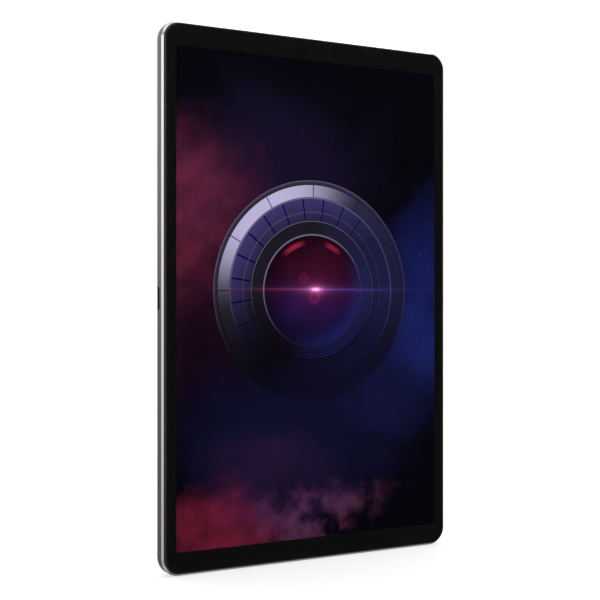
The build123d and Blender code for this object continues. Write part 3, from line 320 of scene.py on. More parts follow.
def lit_screen_picture(strength):
    """Space scene on the lit screen: two coloured clouds, stars, a plain metal ring and a flare."""
    graph = Graph("lit_screen_picture")
    place = graph.place()
    x, _, z = graph.split(place)
    warp = graph.noise(place, 0.035, 5.0, 0.6)
    drift = graph.noise(place, 0.03, 4.0, 0.6, seed=7.0)
    wisps = graph.noise(place, 0.055, 6.0, 0.62, seed=11.0)
    grain = graph.noise(place, 2.6, 3.0, 0.6, seed=5.0)
    billowing = 46.0        # how far the noise carries the clouds' edges
    wx = x + (warp - 0.5) * billowing
    wz = z + (drift - 0.5) * billowing

    def patch(across, up, reach_x, reach_z):
        """Soft round patch, 1 in its middle and 0 at its edge."""
        dx = (wx - across) / reach_x
        dz = (wz - up) / reach_z
        return (1.0 - (dx * dx + dz * dz)).rise(0.0, 1.0)

    texture = wisps.rise(0.30, 0.72)
    billow = wisps.rise(0.22, 0.82)
    feather = wisps.rise(0.46, 0.66)
    sky = graph.tint(1.0, (0.0008, 0.0005, 0.0026))
    # clouds: the patch, the pattern with its contrast and even part, and the colour
    for across, up, reach_x, reach_z, pattern, contrast, even, colour in (
            (-58.0, 34.0, 42.0, 46.0, texture, 0.75, 0.25, (0.070, 0.0070, 0.018)),
            (-54.0, 36.0, 22.0, 30.0, texture, 0.6, 0.4, (0.062, 0.008, 0.018)),
            (-54.0, -8.0, 34.0, 36.0, texture, 0.5, 0.3, (0.018, 0.0028, 0.013)),
            (-46.0, -92.0, 34.0, 24.0, texture, 0.7, 0.3, (0.165, 0.0105, 0.030)),
            (58.0, 0.0, 34.0, 54.0, billow, 0.5, 0.5, (0.0070, 0.0135, 0.108)),
            (44.0, -28.0, 34.0, 34.0, billow, 0.0, 0.8, (0.0040, 0.0060, 0.040)),
            (-8.0, -54.0, 66.0, 40.0, billow, 0.0, 1.0, (0.0030, 0.0034, 0.020)),
            (-22.0, -72.0, 40.0, 26.0, texture, 0.6, 0.4, (0.0140, 0.0030, 0.014)),
            (4.0, -88.0, 34.0, 18.0, feather, 1.0, 0.0, (0.085, 0.022, 0.060)),
            (-18.0, 50.0, 60.0, 44.0, billow, 0.0, 1.0, (0.0062, 0.0034, 0.0165))):
        cloud = patch(across, up, reach_x, reach_z) * (pattern * contrast + even)
        sky = graph.sum(sky, graph.tint(cloud, colour))

    stars = graph.node("ShaderNodeTexVoronoi", {"feature": "F1", "voronoi_dimensions": "3D"},
                       {"Vector": place, "Scale": 0.21})
    star_tint = Value(graph, stars.socket.node.outputs["Color"])
    chance, _, size = graph.split(star_tint)
    star = stars.rise(0.060, 0.020) * chance.rise(0.72, 1.0) * (size * 0.8 + 0.2)
    sky = graph.sum(sky, graph.tint(star, (0.16, 0.12, 0.22)))

    # ring: distance from its middle, and how far each place faces the light at the upper left
    ring_up, ring_radius, hollow_radius, rim_radius = 3.0, 44.0, 22.0, 22.3
    middle_start, middle_end = 28.2, 36.8
    dz = z - ring_up
    radius = (x * x + dz * dz) ** 0.5
    turn = dz.math("ARCTAN2", dz, x)
    facing = (dz * 0.82 - x * 0.57) / (radius + 0.01)
    upper = facing.rise(-0.5, 1.0)
    shine = facing.rise(0.30, 1.0)
    blue_side = ((x * 0.80 - dz * 0.60) / (radius + 0.01)).rise(0.0, 1.0)
    right_side = ((x * 0.92 + dz * 0.39) / (radius + 0.01)).rise(0.3, 1.0)
    height = dz / ring_radius
    fade = height.rise(-1.0, 0.25)

    def line(middle, half, soft):
        """Thin circle around the ring's middle."""
        return ((radius - middle).absolute()).rise(half + soft, half)

    def band(inner, outer):
        """Flat band of the ring between two radii."""
        return radius.rise(inner - 0.15, inner + 0.15) * radius.rise(outer + 0.15, outer - 0.15)

    def seams(count, half, shift=0.0):
        """Evenly spaced radial seams."""
        cell = (turn * (count / (2 * math.pi)) + shift).fraction()
        gap = (cell - 0.5).absolute() * radius * (2 * math.pi / count)
        return gap.rise(half + 0.25, half)

    inside = radius.rise(rim_radius, 21.9)
    body = band(hollow_radius, ring_radius)
    lip = band(42.6, ring_radius)
    outer_band = band(37.4, 42.2)
    middle_band = band(middle_start, middle_end)
    inner_band = band(22.4, 27.4)
    outward = ((radius - middle_start) / (middle_end - middle_start)).clamped()
    panel = graph.noise(place, 0.30, 3.0, 0.55, seed=9.0) * 0.5 + 0.7
    brushed = (radius * 3.1).wave() * 0.5 + 0.75
    silver = outer_band * (shine * shine * 0.62 + upper * 0.030 + 0.004) * brushed
    slate = middle_band * (outward * 0.55 + 0.45) * (upper * upper * 0.075 + 0.006) * panel
    dark = inner_band * (upper * 0.008 + 0.002)
    edge = lip * (upper * 0.030 + 0.004)
    threads = (radius * 0.95 + 0.3).wave().rise(0.14, 0.04)
    plates = seams(24, 0.12) * middle_band + seams(12, 0.12, 0.5) * outer_band
    tone = (silver + slate + dark + edge) * (fade * 0.95 + 0.05) * (1.0 - plates * 0.80)
    ring = graph.sum(graph.tint(tone, (0.92, 0.84, 1.28)),
                     graph.tint(slate * fade, (-0.30, -0.32, 0.62)))
    rims = (line(ring_radius, 0.10, 0.30) * 0.8 + line(37.0, 0.12, 0.22) * 0.9
            + line(31.4, 0.05, 0.18) * 0.35 + line(27.8, 0.10, 0.22) * 0.6)
    inner_rim = line(rim_radius, 0.18, 0.35)
    rim_light = rims * (upper * upper + right_side * 0.35) + inner_rim * (upper * 0.9 + 0.12)
    blue_threads = threads * (inner_band + middle_band * 0.25) * blue_side
    ring = graph.sum(ring,
                     graph.tint(rim_light * (fade * 0.95 + 0.05), (0.17, 0.145, 0.26)),
                     graph.tint(blue_threads, (0.016, 0.022, 0.20)),
                     graph.tint(blue_side * body * 0.5, (0.0030, 0.0040, 0.022)),
                     graph.tint(right_side * body * fade, (0.0050, 0.0060, 0.030)),
                     graph.tint(body, (0.0012, 0.0009, 0.0030)))
    cover = body * (height.rise(-1.15, -0.50) * 0.70 + 0.30)
    picture = graph.blend(cover, sky, ring)

    # hollow of the ring: crimson above, indigo below, with red glints under the upper lip
    depth_mix = (dz / hollow_radius + (warp - 0.5) * 0.8).rise(-0.6, 0.5)
    hollow = graph.blend(depth_mix, (0.0110, 0.0055, 0.060), (0.034, 0.0022, 0.014))
    edge_shade = radius.rise(23.0, 12.0) * 0.65 + 0.35
    hollow = graph.tint(edge_shade * (texture * 0.6 + 0.55), hollow)
    glint = line(19.4, 0.5, 0.9) * ((turn - 2.05).absolute().rise(0.34, 0.05)
                                    + (turn - 1.10).absolute().rise(0.26, 0.05) * 0.7)
    hollow = graph.sum(hollow, graph.tint(glint, (0.30, 0.012, 0.045)),
                       graph.tint(radius.rise(15.0, 21.5) * blue_side, (0.004, 0.010, 0.070)))
    picture = graph.blend(inside, picture, hollow)

    # flare: hot middle, red glow and a thin streak across the whole screen
    fx = x - 1.1
    fz = z - 3.6
    spread = (fx * fx + fz * fz) ** 0.5
    flat = (fx * fx * 0.22 + fz * fz * 1.7) ** 0.5
    glow = 1.0 / (spread * spread * 0.16 + 1.0)
    core = 1.0 / (flat ** 3.0 * 2.2 + 1.0)
    streak = 1.0 / (fz * fz * 12.0 + 1.0) * (1.0 / (fx.absolute() * 0.085 + 1.0))
    streak = streak * (1.0 - fx.absolute() / 60.0).clamped()
    wide = 1.0 / (fz * fz * 0.30 + 1.0) * (1.0 / (fx * fx * 0.016 + 1.0))
    sideways = (fx / 60.0 + 0.5).rise(0.25, 0.75)
    streak_tint = graph.blend(sideways, (0.34, 0.055, 0.15), (0.10, 0.09, 0.60))
    picture = graph.sum(
        picture,
        graph.tint(glow, (0.13, 0.006, 0.050)),
        graph.tint(wide, (0.070, 0.005, 0.050)),
        graph.tint(streak, streak_tint),
        graph.tint(core, (1.5, 0.62, 1.05)))
    for at_x, at_z, reach, colour in (
            (-4.5, 8.0, 2.0, (0.055, 0.003, 0.012)), (0.5, 0.4, 2.4, (0.085, 0.003, 0.028)),
            (3.2, 2.2, 1.2, (0.080, 0.004, 0.040))):
        away = ((x - at_x) * (x - at_x) + (z - at_z) * (z - at_z)) ** 0.5
        ghost = away.rise(reach + 0.6, reach - 0.2) * (away / reach * 0.7 + 0.3)
        picture = graph.sum(picture, graph.tint(ghost, colour))
    picture = graph.tint((grain - 0.5) * 0.14 + strength, picture)
    return graph.surface(Base_Color=opaque((0.002, 0.002, 0.003)), Roughness=0.5,
                         Specular_IOR_Level=0.0, Emission_Color=picture,
                         Emission_Strength=1.0)


def border_print(colour):
    """Black ink behind the glass, with the faint mottle of a printed layer."""
    graph = Graph("border_print")
    place = graph.place()
    mottle = graph.noise(place, 3.0, 3.0)
    base = graph.blend(mottle, shade(colour, 0.85), shade(colour, 1.2))
    return graph.surface(Base_Color=base, Roughness=mottle * 0.10 + 0.30,
                         Specular_IOR_Level=0.15, Normal=graph.bump(mottle, 0.05, 0.01 * MM))


def circuit_board(name, mask):
    """Solder mask over copper: traces, ground areas and rows of small tinned pads."""
    graph = Graph(name)
    place = graph.place()
    x, _, z = graph.split(place)
    cells = graph.node("ShaderNodeTexVoronoi", {"feature": "F1", "distance": "MANHATTAN"},
                       {"Vector": place, "Scale": 0.30})
    tone = graph.split(Value(graph, cells.socket.node.outputs["Color"]))[0]
    trace_x = (x * 1.25).wave().rise(0.20, 0.12)
    trace_z = (z * 1.25).wave().rise(0.20, 0.12)
    traces = trace_x * tone.rise(0.55, 0.56) + trace_z * tone.rise(0.45, 0.44)
    pad_x = (x * 0.8).wave().rise(0.24, 0.20)
    pad_z = (z * 0.5).wave().rise(0.14, 0.11)
    pads = pad_x * pad_z * tone.rise(0.72, 0.74)
    base = graph.blend(traces * 0.6, mask, shade(mask, 2.2))
    base = graph.blend(pads, base, (0.62, 0.60, 0.56))
    return graph.surface(Base_Color=base, Metallic=pads, Roughness=pads * -0.15 + 0.45,
                         Normal=graph.bump(traces * 0.5 + pads, 0.3, 0.03 * MM))


def woven_mesh(name):
    """Fine black cloth behind the sound holes."""
    graph = Graph(name)
    place = graph.place()
    x, y, _ = graph.split(place)
    warp = (x * 6.0).wave()
    weft = (y * 6.0).wave()
    threads = (warp.rise(0.10, 0.45) + weft.rise(0.10, 0.45)).clamped()
    base = graph.blend(threads, (0.002, 0.002, 0.002), (0.030, 0.030, 0.032))
    return graph.surface(Base_Color=base, Roughness=threads * -0.2 + 0.7,
                         Normal=graph.bump(threads, 0.6, 0.03 * MM))


def film_ribbon(name):
    """Flexible film with long parallel conductors."""
    graph = Graph(name)
    place = graph.place()
    x = graph.split(place)[0]
    lines = (x * 1.8).wave().rise(0.10, 0.18)
    fine = graph.noise(place, 2.0, 3.0)
    base = graph.blend(lines * (fine * 0.4 + 0.5), (0.16, 0.058, 0.012), (0.34, 0.17, 0.055))
    return graph.surface(Base_Color=base, Roughness=fine * 0.15 + 0.32,
                         Normal=graph.bump(lines, 0.2, 0.03 * MM))


def lens_coat(name, colour):
    """Dark coated lens glass."""
    graph = Graph(name)
    place = graph.place()
    cloud = graph.noise(place, 0.8, 2.0)
    base = graph.blend(cloud, shade(colour, 0.8), colour)
    return graph.surface(Base_Color=base, Roughness=cloud * 0.02 + 0.03, IOR=1.7,
                         Specular_IOR_Level=0.8, Coat_Weight=1.0, Coat_Roughness=0.02,
                         Coat_Tint=opaque((0.62, 0.55, 1.0)))


def diffuser_plastic(name):
    graph = Graph(name)
    place = graph.place()
    cloud = graph.noise(place, 1.5, 2.0)
    base = graph.blend(cloud, (0.72, 0.66, 0.44), (0.84, 0.80, 0.60))
    return graph.surface(Base_Color=base, Roughness=cloud * 0.08 + 0.20, IOR=1.49,
                         Subsurface_Weight=0.3, Subsurface_Scale=0.6 * MM)


# ---------------------------------------------------------------- shaping
BREAK_ANGLE = math.radians(34)      # sharper edges than this are softened
SAME_PLACE, SAME_POINT = 1e-6, 2e-7


def spot(across, depth, up):
    """Point from millimetres across, behind the glass and above the middle."""
    return Vector((across * MM, FRONT_Y + depth * MM, MIDDLE_Z + up * MM))


def span(first, second):
    """Lowest and highest corner of the block that two points span."""
    pairs = list(zip(first, second))
    return Vector([min(pair) for pair in pairs]), Vector([max(pair) for pair in pairs])


def box_middle(node):
    """Corners of a CAD node's box, and its middle."""
    low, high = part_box(node)
    return low, high, (low + high) / 2


def runs_along(edge, axis):
    along = (edge.verts[0].co - edge.verts[1].co).normalized()
    return abs(along[axis]) > 0.999


def block(low, high, axis=1, radius=0.0, segments=8):
    """Block between two corners, with the four edges along one axis rounded."""
    form = bmesh.new()
    bmesh.ops.create_cube(form, size=1.0)
    bmesh.ops.scale(form, vec=high - low, verts=form.verts)
    bmesh.ops.translate(form, vec=(low + high) / 2, verts=form.verts)
    if radius > 0:
        corners = [edge for edge in form.edges if runs_along(edge, axis)]
        bevel(form, corners, radius, segments)
    return form


def bevel(form, edges, width, segments):
    bmesh.ops.bevel(form, geom=edges, offset=width, offset_type="OFFSET", segments=segments,
                    profile=0.5, affect="EDGES", material=-1, clamp_overlap=True)


def outline(form, axis, place):
    """Edges around the flat end of a form at a place along an axis."""
    found = []
    for edge in form.edges:
        level = all(abs(vert.co[axis] - place) < SAME_PLACE for vert in edge.verts)
        if level and any(abs(face.normal[axis]) < 0.9 for face in edge.link_faces):
            found.append(edge)
    return found


def cap(form, axis, place):
    """The flat end face of a form at a place along an axis; the largest if there are more."""
    level = [face for face in form.faces
             if all(abs(vert.co[axis] - place) < SAME_PLACE for vert in face.verts)]
    return max(level, key=lambda face: face.calc_area())


def step_in(form, face, width, depth=0.0):
    """Insets a face by a width and moves it along Y by a depth."""
    bmesh.ops.inset_region(form, faces=[face], thickness=width, use_even_offset=True)
    bmesh.ops.translate(form, vec=(0, depth, 0), verts=face.verts)


def sink(form, face, shift):
    """Extrudes a face by a shift and returns the face at the bottom."""
    made = bmesh.ops.extrude_face_region(form, geom=[face])["geom"]
    bottom = [item for item in made if isinstance(item, bmesh.types.BMFace)]
    corners = [item for item in made if isinstance(item, bmesh.types.BMVert)]
    bmesh.ops.translate(form, vec=shift, verts=corners)
    if face.is_valid:
        bmesh.ops.delete(form, geom=[face], context="FACES_ONLY")
    return bottom[0]


def turned(profile, middle, steps=64):
    """Round piece from (radius, place along Y) pairs, closed where the radius is 0."""
    form = bmesh.new()
    corners = [form.verts.new((radius, along, 0)) for radius, along in profile]
    edges = [form.edges.new(pair) for pair in zip(corners, corners[1:])]
    bmesh.ops.spin(form, geom=corners + edges, cent=(0, 0, 0), axis=(0, 1, 0), steps=steps,
                   angle=math.tau, use_merge=True)
    bmesh.ops.remove_doubles(form, verts=form.verts, dist=1e-7)
    bmesh.ops.translate(form, vec=middle, verts=form.verts)
    bmesh.ops.recalc_face_normals(form, faces=form.faces)
    return form


def rod(radius, low, high, steps=48):
    """Plain round cutter between two points along one axis."""
    form = bmesh.new()
    bmesh.ops.create_cone(form, cap_ends=True, segments=steps, radius1=radius, radius2=radius,
                          depth=(high - low).length)
    turn = Vector((0, 0, 1)).rotation_difference((high - low).normalized()).to_matrix()
    bmesh.ops.rotate(form, cent=(0, 0, 0), matrix=turn, verts=form.verts)
    bmesh.ops.translate(form, vec=(low + high) / 2, verts=form.verts)
    return form


def meshed(form, name):
    """Mesh from a form, which is used up."""
    mesh = bpy.data.meshes.new(name)
    form.normal_update()
    form.to_mesh(mesh)
    form.free()
    return mesh


def placed(name, data):
    """New object in the scene."""
    made = bpy.data.objects.new(name, data)
    bpy.context.scene.collection.objects.link(made)
    return made


def merged(*forms):
    """Several forms as one; the given ones are used up."""
    whole = bmesh.new()
    for form in forms:
        scratch = meshed(form, "scratch")
        whole.from_mesh(scratch)
        bpy.data.meshes.remove(scratch)
    return whole


def carved(form, tools, operation="DIFFERENCE"):
    """Cuts one form with others by exact booleans and returns the result as a form."""
    blank = placed("carved_blank", meshed(form, "carved_blank"))
    cutters = [placed("cutter", meshed(tool, "cutter")) for tool in tools]
    for cutter in cutters:
        modifier = blank.modifiers.new("cut", "BOOLEAN")
        modifier.operation = operation
        modifier.solver = "EXACT"
        modifier.object = cutter
    bpy.context.view_layer.update()
    ready = blank.evaluated_get(bpy.context.evaluated_depsgraph_get())
    result = bpy.data.meshes.new_from_object(ready)
    cut = bmesh.new()
    cut.from_mesh(result)
    bmesh.ops.remove_doubles(cut, verts=cut.verts, dist=SAME_POINT)
    bmesh.ops.dissolve_degenerate(cut, dist=SAME_POINT, edges=cut.edges)
    bpy.data.meshes.remove(result)
    for made in [blank] + cutters:
        mesh = made.data
        bpy.data.objects.remove(made)
        bpy.data.meshes.remove(mesh)
    return cut


def piece(form, name, body, nodes, slot, materials, edge_break=0.0, sharp=28.0, paint=None):
    """Finished piece: mesh, finishes, soft edges and its place in the assembly."""
    form.normal_update()
    if paint:
        for face in form.faces:
            face.material_index = paint(face)
    mesh = meshed(form, name)
    for material in materials:
        mesh.materials.append(material)
    mesh.shade_smooth()
    mesh.set_sharp_from_angle(angle=math.radians(sharp))
    made = placed(name, mesh)
    if edge_break > 0:
        soft = made.modifiers.new("edge_break", "BEVEL")
        soft.width = edge_break
        soft.segments = 2
        soft.limit_method = "ANGLE"
        soft.angle_limit = BREAK_ANGLE
        soft.harden_normals = False
        soft.use_clamp_overlap = True
    level = made.modifiers.new("level_normals", "WEIGHTED_NORMAL")
    level.keep_sharp = True
    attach(made, body)
    if nodes:
        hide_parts(*nodes)
    return made


# ---------------------------------------------------------------- body
# Sizes from here on are in millimetres: depths count from the front of the glass, heights from
# the middle of the body, and pairs are half sizes along the edge and through the body.
ACROSS, INWARD, UP = (Vector(axis) for axis in ((1, 0, 0), (0, 1, 0), (0, 0, 1)))
PORT_DEPTH = 5.05
PORT_HOLE = (4.5, 1.5)
KEY_Y = FRONT_Y + 4.3 * MM
KEY_HOLES = {"power_key": (4.6, 1.1), "volume_key": (10.1, 1.1), "card_tray": (8.3, 1.2)}
SOUND_DEPTH = 4.6
SOUND_ROWS = ((1, -40.43), (-1, -42.83))        # end of the body, and middle of the row
SOUND_HOLES, SOUND_PITCH, SOUND_RADIUS = 7, 3.2, 0.75
MIC_PLACES, MIC_RADIUS = ((1, 14.0), (-1, 13.0)), 0.5
HOLE_IN, HOLE_OUT = -1.8, 1.0                   # reach of a hole's cutter from the outside
SEAT, SEAT_DEPTHS = (7.1, 20.1), (6.4, 8.7)     # seat of the camera island in the back
CUT_PAST = 1.0                                  # how far a cutter stands out of the body
HAIR = 0.01                                     # keeps a full round from closing on itself
WINDOW_RADIUS, WINDOW_PAST, WINDOW_SHADE = 1.5, 4.0, 0.34
SIDE_PORT = spot(-HALF_WIDTH / MM, PORT_DEPTH, 0)
BOTTOM_PORT = spot(0, PORT_DEPTH, -HALF_HEIGHT / MM)


def body_blank(settings):
    """Tray-shaped body before its openings are cut."""
    form = block(SHELL_LOW, SHELL_HIGH, 1, settings.corner_radius, 20)
    bevel(form, outline(form, 1, SHELL_HIGH.y), settings.back_radius, 10)
    bevel(form, outline(form, 1, SHELL_LOW.y), settings.chamfer, 1)
    front = cap(form, 1, SHELL_LOW.y)
    step_in(form, front, settings.rim_width - settings.chamfer)
    recess_y = FRONT_Y + settings.recess_depth
    face = sink(form, front, (0, recess_y - SHELL_LOW.y, 0))
    step_in(form, face, settings.ledge_width - settings.rim_width)
    face = sink(form, face, (0, settings.ledge_thick, 0))
    inner = sink(form, face, (0, 0, 0))
    grow_x = (HALF_WIDTH - settings.side_wall) / (HALF_WIDTH - settings.ledge_width)
    grow_z = (HALF_HEIGHT - settings.side_wall) / (HALF_HEIGHT - settings.ledge_width)
    bmesh.ops.translate(form, vec=(0, 0, -MIDDLE_Z), verts=inner.verts)
    bmesh.ops.scale(form, vec=(grow_x, 1, grow_z), verts=inner.verts)
    bmesh.ops.translate(form, vec=(0, 0, MIDDLE_Z), verts=inner.verts)
    inside_y = SHELL_HIGH.y - settings.floor
    sink(form, inner, (0, inside_y - recess_y - settings.ledge_thick, 0))
    bmesh.ops.recalc_face_normals(form, faces=form.faces)
    return form


def opening(middle, inward, along, half, wall, past=0.0):
    """Round-ended cutter through a side wall."""
    axis = 0 if inward.x else 2
    half_long, half_thick = half
    reach = (along * half_long + INWARD * half_thick) * MM
    out = middle - inward * CUT_PAST * MM
    return block(*span(out - reach, middle + inward * (wall + past * MM) + reach), axis,
                 (half_thick - HAIR) * MM, 12)


def body_openings(wall):
    """Cutters for the ports, keys, tray, sound holes, microphones and camera island."""
    tools = [opening(SIDE_PORT, ACROSS, UP, PORT_HOLE, wall, CUT_PAST)]
    for node, half in KEY_HOLES.items():
        middle = Vector((SHELL_HIGH.x, KEY_Y, box_middle(node)[2].z))
        tools.append(opening(middle, -ACROSS, UP, half, wall, HAIR))
    tools.append(opening(BOTTOM_PORT, UP, ACROSS, PORT_HOLE, wall, CUT_PAST))
    holes = [(end, middle + SOUND_PITCH * (number - SOUND_HOLES // 2), SOUND_RADIUS)
             for end, middle in SOUND_ROWS for number in range(SOUND_HOLES)]
    holes += [(end, across, MIC_RADIUS) for end, across in MIC_PLACES]
    for end, across, radius in holes:
        ends = [spot(across, SOUND_DEPTH, end * (HALF_HEIGHT / MM + reach))
                for reach in (HOLE_IN, HOLE_OUT)]
        tools.append(rod(radius * MM, *ends, steps=32))
    middle = box_middle("camera_island")[2]
    half = Vector((SEAT[0], 0, SEAT[1])) * MM
    low, high = (Vector((middle.x, FRONT_Y + depth * MM, middle.z)) for depth in SEAT_DEPTHS)
    tools.append(block(low - half, high + half, 1, (SEAT[0] - HAIR) * MM, 24))
    return tools


def window_cutter(grow=0.0):
    """Block around the antenna window of the upper back edge."""
    low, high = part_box("antenna_window")
    side = Vector((grow, grow, grow))
    top = Vector((high.x + grow, high.y + CUT_PAST * MM, high.z + WINDOW_PAST * MM))
    return block(low - side, top, 1, WINDOW_RADIUS * MM, 8)


def is_slope(face):
    """Whether a face leans halfway between the front or back and the sides."""
    return 0.6 < abs(face.normal.y) < 0.8


class TABLET_OT_body(bpy.types.Operator):
    """Build the metal body and the antenna window"""

    bl_idname = "tablet.body"
    bl_label = "Body"

    def execute(self, context):
        shell = context.scene.tablet_shell
        colours = context.scene.tablet_colours

        def bright_rim(face):
            """Slot 1, the bright cut, for the sloped rim around the glass."""
            depth = face.calc_center_median().y - SHELL_LOW.y
            return int(is_slope(face) and depth < shell.chamfer + 0.05 * MM)

        finishes = [anodised("body_metal", colours.metal),
                    polished("bright_rim", colours.bright_metal)]
        form = carved(body_blank(shell), body_openings(shell.side_wall) + [window_cutter()])
        piece(form, "rear_cover_body", BODY, ["rear_cover"], "body_metal", finishes,
              shell.edge_break, paint=bright_rim)
        window = carved(body_blank(shell), [window_cutter(-0.02 * MM)], "INTERSECT")
        paint = moulded("window_paint", shade(colours.metal, WINDOW_SHADE), 0.40, 0.10)
        piece(window, "antenna_window_inlay", BODY, ["antenna_window"], "window_plastic", [paint],
              0.03 * MM)
        return {"FINISHED"}


class TABLET_OT_glass(bpy.types.Operator):
    """Build the cover glass with its curved border"""

    bl_idname = "tablet.glass"
    bl_label = "Cover glass"

    def execute(self, context):
        shell = context.scene.tablet_shell
        low = GLASS_LOW + INWARD * shell.glass_drop
        high = GLASS_HIGH - INWARD * 0.02 * MM
        form = block(low, high, 1, shell.glass_corner, 20)
        front = cap(form, 1, low.y)
        back = cap(form, 1, high.y)
        steps = 10
        for number in range(steps):
            before = math.pi / 2 * number / steps
            after = math.pi / 2 * (number + 1) / steps
            width = (math.cos(before) - math.cos(after)) * shell.glass_slope
            rise = (math.sin(after) - math.sin(before)) * shell.glass_drop
            step_in(form, front, width, -rise)
        step_in(form, back, 0.3 * MM)
        smallest_pane = 1e-3        # square metres; the flat back is the only larger face there

        def ink(face):
            """Slot 1, the black print, for the side wall and the margin of the back."""
            margin = face.normal.y > 0.9 and face.calc_area() < smallest_pane
            return int(margin or abs(face.normal.y) < 0.1)

        print_black = border_print(context.scene.tablet_colours.border)
        piece(form, "front_glass_sheet", BODY, ["cover_glass"], "front_glass",
              [clear_glass("front_glass"), print_black], sharp=50.0, paint=ink)
        return {"FINISHED"}


class TABLET_OT_screen(bpy.types.Operator):
    """Build the lit picture layer of the screen"""

    bl_idname = "tablet.screen"
    bl_label = "Lit screen"

    def execute(self, context):
        low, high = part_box("optical_adhesive")
        form = block(low + Vector((0.03, 0.02, 0.03)) * MM, high - Vector((0.03, 0.01, 0.03)) * MM,
                     1, 1.47 * MM, 8)
        picture = lit_screen_picture(context.scene.tablet_colours.screen_strength)
        piece(form, "lit_picture_layer", BODY, ["optical_adhesive"], "lit_panel", [picture])
        return {"FINISHED"}


# ---------------------------------------------------------------- ports
# start and end along the way out of the mouth, the pair of half sizes, and the corner radius
PORT_SHELL = (-7.4, 0.0, 4.47, 1.58, 1.57)
PORT_HOLLOW = (-7.1, 1.0, 4.17, 1.28, 1.27)
PORT_BASE = (-7.08, -4.95, 4.1, 1.2, 1.19)
PORT_TONGUE = (-7.0, -1.1, 3.35, 0.32, 0.0)
PORT_CONTACT = (-4.6, -1.5, 0.15, 0.03, 0.0)
CONTACT_COUNT, CONTACT_PITCH, CONTACT_LIFT = 12, 0.5, 0.315


def port_pieces(name, mouth, out, wide, finishes):
    """Shell, tongue and contacts of one reversible charging port."""
    metal, plastic, gold = finishes
    axis = 0 if out.x else 2

    def slab(sizes, aside=Vector()):
        start, end, half_wide, half_thin, radius = sizes
        half = wide * half_wide + INWARD * half_thin
        ends = (mouth + (aside + out * start - half) * MM, mouth + (aside + out * end + half) * MM)
        return block(*span(*ends), axis, radius * MM, 10)

    shell = carved(slab(PORT_SHELL), [slab(PORT_HOLLOW)])
    piece(shell, name + "_steel_shell", BODY, [name + "_shell"], "port_steel", [metal], 0.05 * MM)
    tongue = slab(PORT_TONGUE)
    tip_place = (mouth + out * PORT_TONGUE[1] * MM).dot(out)
    tip = [edge for edge in tongue.edges
           if all(abs(vert.co.dot(out) - tip_place) < SAME_PLACE for vert in edge.verts)]
    bevel(tongue, tip, 0.15 * MM, 3)
    pads = [slab(PORT_CONTACT, wide * CONTACT_PITCH * (number - (CONTACT_COUNT - 1) / 2)
                 + INWARD * side * CONTACT_LIFT)
            for number in range(CONTACT_COUNT) for side in (-1, 1)]
    piece(merged(slab(PORT_BASE), tongue), name + "_tongue_body", BODY, [name + "_tongue"],
          "port_plastic", [plastic], 0.03 * MM)
    piece(merged(*pads), name + "_contacts", BODY, [], "port_steel", [gold])


class TABLET_OT_ports(bpy.types.Operator):
    """Build the two charging ports"""

    bl_idname = "tablet.ports"
    bl_label = "Charging ports"

    def execute(self, context):
        finishes = (stamped("port_steel", (0.42, 0.42, 0.43), 0.28),
                    moulded("port_plastic", (0.010, 0.010, 0.011), 0.5),
                    stamped("contact_gold", (0.85, 0.60, 0.24), 0.25))
        side_mouth = Vector((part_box("side_port_shell")[0].x, SIDE_PORT.y, SIDE_PORT.z))
        bottom_mouth = Vector((0, BOTTOM_PORT.y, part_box("bottom_port_shell")[0].z))
        port_pieces("side_port", side_mouth, -ACROSS, UP, finishes)
        port_pieces("bottom_port", bottom_mouth, -UP, ACROSS, finishes)
        return {"FINISHED"}


# ---------------------------------------------------------------- keys and card tray
KEY_CAP = 1.0           # half thickness
KEY_FLANGE, FLANGE_THICK = 0.98, 0.45
NUB_RADIUS = 0.6
# length, how far the nubs stand in, and where they are along the key
KEYS = {"power_key": (9.0, 0.35, (0,)), "volume_key": (20.0, 0.28, (-6.5, 6.5))}


def key_form(node):
    """Cap with a soft edge, the flange behind it and the nubs that press the switches."""
    low, high, middle = box_middle(node)
    long, nub, nub_places = KEYS[node]
    flange_x = low.x + nub * MM
    head = block(Vector((flange_x + 0.02 * MM, KEY_Y - KEY_CAP * MM, middle.z - long / 2 * MM)),
                 Vector((high.x, KEY_Y + KEY_CAP * MM, middle.z + long / 2 * MM)), 0,
                 (KEY_CAP - HAIR) * MM, 12)
    bevel(head, outline(head, 0, high.x), 0.25 * MM, 4)
    flange = block(Vector((flange_x, KEY_Y - KEY_FLANGE * MM, low.z)),
                   Vector((flange_x + FLANGE_THICK * MM, KEY_Y + KEY_FLANGE * MM, high.z)), 0,
                   0.2 * MM, 3)
    studs = [rod(NUB_RADIUS * MM, Vector((low.x, KEY_Y, middle.z + place * MM)),
                 Vector((flange_x + 0.05 * MM, KEY_Y, middle.z + place * MM)), 24)
             for place in nub_places]
    return merged(head, flange, *studs)


class TABLET_OT_keys(bpy.types.Operator):
    """Build the power key and the volume rocker"""

    bl_idname = "tablet.keys"
    bl_label = "Side keys"

    def execute(self, context):
        metal = anodised("key_metal", context.scene.tablet_colours.metal, 0.30)
        for node in KEYS:
            piece(key_form(node), node + "_cap", node, [node], "key_metal", [metal], 0.02 * MM)
        return {"FINISHED"}


TRAY_HEAD_THICK = 1.2           # from the outside to the sled
TRAY_HEAD_HALF = 1.1            # through the body
SLED_DEPTH, SLED_THICK, SLED_HALF = 3.55, 0.9, 6.6
CARD_LENGTH, CARD_STOP, CARD_HALF, CARD_FLOOR = 14.8, 1.2, 5.6, 0.7
CARD_WINDOW_STOP, CARD_WINDOW_HALF = 8.8, 4.6
EJECT_RADIUS, EJECT_INSET = 0.5, 1.4


